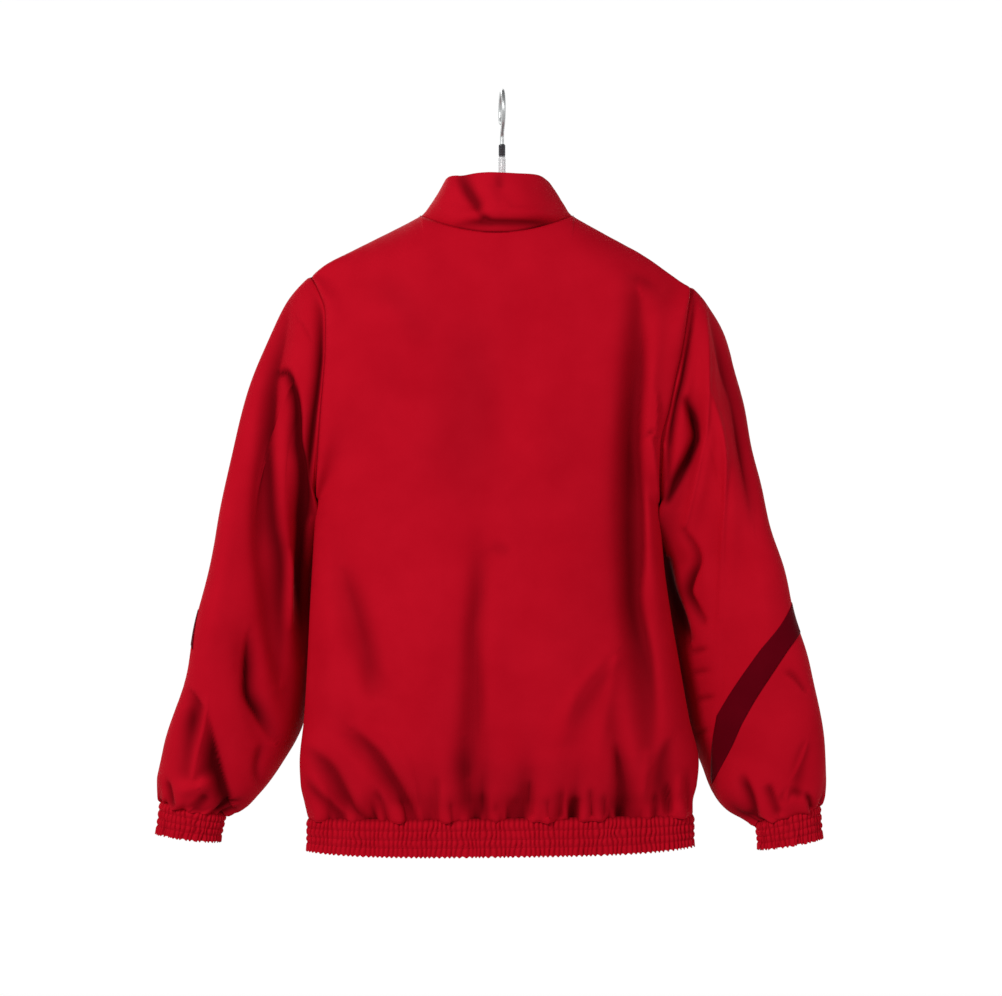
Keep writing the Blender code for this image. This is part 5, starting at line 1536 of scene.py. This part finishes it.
def hook_route():
    centre_z = HOOK_WIRE / 2 - HOOK_RADIUS
    flat = []
    for turn in np.radians(np.linspace(HOOK_TIP_TURN, HOOK_FOOT_TURN, 72)):
        flat.append((HOOK_RADIUS * math.cos(turn), centre_z + HOOK_RADIUS * math.sin(turn)))
    last = np.array(flat[-1])
    leave = last - np.array(flat[-2])
    leave = leave / np.linalg.norm(leave) * HOOK_LEAVE
    shank = np.array((0.0, HOOK_SHANK_TOP_Z))
    arrive = np.array((0.0, -SHANK_ARRIVE))
    for t in np.linspace(0, 1, 22)[1:]:
        flat.append(tuple(glide(t, last, leave, shank, arrive)))
    flat.append((0.0, FERRULE_TOP_Z - 0.001))
    yaw = math.radians(HOOK_YAW)
    return np.array([(-s * math.cos(yaw), s * math.sin(yaw), z) for s, z in flat])


def make_hook(chrome, dark):
    route = hook_route()
    way = np.gradient(route, axis=0)
    way /= length_of(way)
    yaw = math.radians(HOOK_YAW)
    flat_normal = np.array([math.sin(yaw), math.cos(yaw), 0])
    rings = []
    radius = HOOK_WIRE / 2
    for k, (place, along) in enumerate(zip(route, way)):
        up = np.cross(along, flat_normal)
        size = radius * (math.sqrt(1 - (1 - k / 5) ** 2) * 0.9 + 0.1 if k < 5 else 1.0)
        rings.append(ring_round(place, size * flat_normal, size * up, 20))
    lofted("hook_wire", rings, chrome, ["hanger_hook"])
    profile = [(0.0028, FERRULE_TOP_Z), (0.0032, FERRULE_TOP_Z - 0.0004)]
    for k in range(6):
        z = FERRULE_TOP_Z - 0.0012 - k * FERRULE_RING_PITCH
        profile.append((FERRULE_RADIUS, z))
        profile.append((FERRULE_RADIUS, z - 0.0012))
        profile.append((FERRULE_RADIUS * 0.93, z - 0.00145))
        profile.append((FERRULE_RADIUS * 0.93, z - 0.0017))
    profile.append((FERRULE_RADIUS * 0.92, FERRULE_BOTTOM_Z))
    turned("ferrule_rings", profile, dark, ["hanger_ferrule"])


# ---------------------------------------------------------------- materials


def new_material(name, color, roughness, metallic=0.0):
    material = bpy.data.materials.new(name)
    material.use_nodes = True
    shader = material.node_tree.nodes["Principled BSDF"]
    shader.inputs["Base Color"].default_value = (*color, 1.0)
    shader.inputs["Roughness"].default_value = roughness
    shader.inputs["Metallic"].default_value = metallic
    return material, material.node_tree, shader


def add_node(tree, kind, **inputs):
    """A shader node whose inputs are set to values or linked to sockets."""
    node = tree.nodes.new("ShaderNode" + kind)
    for name, value in inputs.items():
        socket = node.inputs[name.replace("_", " ")]
        if isinstance(value, bpy.types.NodeSocket):
            tree.links.new(value, socket)
        else:
            socket.default_value = value
    return node


def noise(tree, vector, scale, detail, roughness=0.5):
    made = add_node(tree, "TexNoise", Vector=vector, Scale=scale, Detail=detail, Roughness=roughness)
    return made.outputs["Fac"]


def object_place(tree):
    return add_node(tree, "TexCoord").outputs["Object"]


def uneven_roughness(tree, shader, low, high, vector, scale, detail):
    tone = noise(tree, vector, scale, detail)
    spread = add_node(tree, "MapRange", To_Min=low, To_Max=high, Value=tone)
    tree.links.new(spread.outputs["Result"], shader.inputs["Roughness"])


def bumped(tree, height, strength, distance, **inputs):
    made = add_node(tree, "Bump", Height=height, Strength=strength, Distance=distance, **inputs)
    return made.outputs["Normal"]


def cloth(name, dark, bright, roughness, sheen=0.0):
    """A tight smooth weave: slow changes of tone, soft small wrinkles and a fine grain, its colour
    darkened by painted shade from the mesh's shade attribute.
    """
    material, tree, shader = new_material(name, bright, roughness)
    shader.inputs["Sheen Weight"].default_value = sheen
    shader.inputs["Sheen Roughness"].default_value = 0.45
    shader.inputs["Sheen Tint"].default_value = (1.0, 0.12, 0.16, 1.0)
    shader.inputs["Specular IOR Level"].default_value = 0.04
    shader.inputs["Specular Tint"].default_value = (1.0, 0.30, 0.32, 1.0)
    place = object_place(tree)
    ramp = add_node(tree, "ValToRGB", Fac=noise(tree, place, 22.0, 4.0))
    for stop, position, color in zip(ramp.color_ramp.elements, (0.30, 0.70), (dark, bright)):
        stop.position = position
        stop.color = (*color, 1.0)
    # Painted shade: the shade attribute, low in folds, creases, pleats and tucked seams, scales the
    # base colour down
    depth = add_node(tree, "Attribute")
    depth.attribute_name = "shade"
    painted_shade_on_colour = add_node(tree, "VectorMath")
    painted_shade_on_colour.operation = "SCALE"
    tree.links.new(ramp.outputs["Color"], painted_shade_on_colour.inputs[0])
    tree.links.new(depth.outputs["Fac"], painted_shade_on_colour.inputs["Scale"])
    tree.links.new(painted_shade_on_colour.outputs["Vector"], shader.inputs["Base Color"])
    uneven_roughness(tree, shader, roughness - 0.06, roughness + 0.07, place, 70.0, 3.0)
    grain = add_node(tree, "UVMap")
    grain.uv_map = "grain"
    weave = add_node(tree, "Math")
    weave.operation = "ADD"
    for direction, socket in zip(("X", "Y"), weave.inputs):
        wave = add_node(
            tree, "TexWave", Vector=grain.outputs["UV"], Scale=350.0, Distortion=0.6, Detail=1.0
        )
        wave.bands_direction = direction
        tree.links.new(wave.outputs["Fac"], socket)
    small = bumped(tree, weave.outputs["Value"], 0.10, 0.0002)
    wrinkles = noise(tree, place, 30.0, 2.0, 0.4)
    wrinkled = bumped(tree, wrinkles, 0.14, 0.0030, Normal=small)
    tree.links.new(wrinkled, shader.inputs["Normal"])
    return material


def metal(name, color, roughness, scratch, metallic=1.0):
    material, tree, shader = new_material(name, color, roughness, metallic)
    place = object_place(tree)
    uneven_roughness(tree, shader, roughness * 0.7, roughness * 1.4, place, scratch, 4.0)
    return material


def clear_plastic(name):
    material, tree, shader = new_material(name, (0.86, 0.87, 0.88), 0.16)
    shader.inputs["Transmission Weight"].default_value = 0.55
    shader.inputs["IOR"].default_value = 1.47
    ripple = bumped(tree, noise(tree, object_place(tree), 120.0, 2.0), 0.08, 0.001)
    tree.links.new(ripple, shader.inputs["Normal"])
    return material


# ---------------------------------------------------------------- stage


def make_stage():
    """A round pale studio: floor, cove and wall, so that every side has it behind."""
    profile = [(STAGE_MIDDLE_RADIUS, 0.0), (STAGE_RADIUS - STAGE_COVE, 0.0)]
    for turn in np.linspace(0.12, math.pi / 2, 14):
        out = STAGE_RADIUS - STAGE_COVE * (1 - math.sin(turn))
        profile.append((out, STAGE_COVE * (1 - math.cos(turn))))
    profile.append((STAGE_RADIUS, STAGE_HEIGHT))
    places = []
    for radius, height in profile:
        for turn in 2 * math.pi * np.arange(STAGE_SIDES) / STAGE_SIDES:
            places.append((radius * math.cos(turn), radius * math.sin(turn), FLOOR_Z + height))
    faces = [range(STAGE_SIDES)] + grid_quads(len(profile), STAGE_SIDES, True).tolist()
    mesh = bpy.data.meshes.new("backdrop")
    mesh.from_pydata(places, [], faces)
    mesh.shade_smooth()
    material, tree, shader = new_material("pale_floor", (0.02, 0.02, 0.02), 1.0)
    shader.inputs["Specular IOR Level"].default_value = 0.0
    shader.inputs["Emission Color"].default_value = (1.0, 1.0, 1.0, 1.0)
    split = add_node(tree, "SeparateXYZ", Vector=object_place(tree))
    glow = add_node(tree, "MapRange", Value=split.outputs["Y"], From_Min=-0.6, From_Max=-1.6)
    glow.inputs["To Min"].default_value = ROOM_GLOW
    glow.inputs["To Max"].default_value = BACKDROP_GLOW
    tree.links.new(glow.outputs["Result"], shader.inputs["Emission Strength"])
    material.cycles.emission_sampling = "NONE"
    mesh.materials.append(material)
    placed("backdrop", mesh)


def make_lights():
    for name, place, aim, size, power in LIGHTS:
        light = bpy.data.lights.new(name, "AREA")
        light.shape = "SQUARE"
        light.size = size
        light.energy = power
        lamp = placed(name, light)
        lamp.location = place
        lamp.rotation_euler = (Vector(aim) - Vector(place)).to_track_quat("-Z", "Y").to_euler()
    world = bpy.data.worlds.new("studio")
    world.use_nodes = True
    background = world.node_tree.nodes["Background"]
    background.inputs["Color"].default_value = (1.0, 1.0, 1.0, 1.0)
    background.inputs["Strength"].default_value = WORLD_LIGHT
    bpy.context.scene.world = world


def make_camera():
    camera = bpy.data.cameras.new("camera")
    camera.sensor_width = SENSOR
    camera.lens = SENSOR * CAMERA_AWAY / (PICTURE[0] * METRES_A_PIXEL)
    holder = placed("camera", camera)
    holder.location = (CAMERA_X, CAMERA_AWAY, CAMERA_Z)
    holder.rotation_euler = (math.pi / 2, 0, math.pi)
    bpy.context.scene.camera = holder


def repaint(node, material, bevel=0.0):
    """Gives a CAD node a finished material and soft edges."""
    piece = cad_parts[node]
    piece.data.materials.clear()
    piece.data.materials.append(material)
    if bevel:
        soften = piece.modifiers.new("Edges", "BEVEL")
        soften.width = bevel
        soften.segments = 2
        soften.limit_method = "ANGLE"


def main():
    red = cloth("red_woven", (0.56, 0.0038, 0.0160), (0.61, 0.0050, 0.0190), 0.70)
    tape_red = cloth("red_tape", (0.40, 0.003, 0.010), (0.48, 0.004, 0.014), 0.65, 0.05)
    maroon = cloth("maroon_woven", (0.118, 0.0004, 0.0055), (0.138, 0.0006, 0.0065), 0.60)
    thread = cloth("red_thread", (0.46, 0.003, 0.013), (0.54, 0.004, 0.017), 0.60)
    zip_metal = metal("zip_metal", (0.13, 0.13, 0.14), 0.36, 900.0)
    chrome = metal("hook_chrome", (0.74, 0.76, 0.76), 0.34, 500.0, 0.7)
    ferrule = metal("ferrule_metal", (0.10, 0.10, 0.11), 0.34, 700.0)
    plastic = clear_plastic("hanger_clear")

    back = make_back(red)
    front_left, front_edge = make_front("left", red)
    front_right, _ = make_front("right", red)
    collar, collar_points = make_collar(red)
    waistband, waist_points, waist_normals = make_waistband(red)
    band_stitches("waistband_stitches", waist_points, waist_normals, thread, False)
    for side in ("left", "right"):
        top, under, strip = make_sleeve(side, red, maroon)
        cuff, cuff_points, cuff_normals = make_cuff(side, red)
        band_stitches(f"cuff_{side}_stitches", cuff_points, cuff_normals, thread, True)
    line = zip_line(collar_points, front_edge)
    for tape in make_zip(line, tape_red, zip_metal):
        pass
    make_hook(chrome, ferrule)
    make_hanger(plastic)
    for node in ("zip_box", "zip_slider", "zip_pull"):
        repaint(node, zip_metal, 0.0003)
    make_stage()
    make_lights()
    make_camera()
    bpy.context.scene.view_settings.view_transform = "Standard"


main()
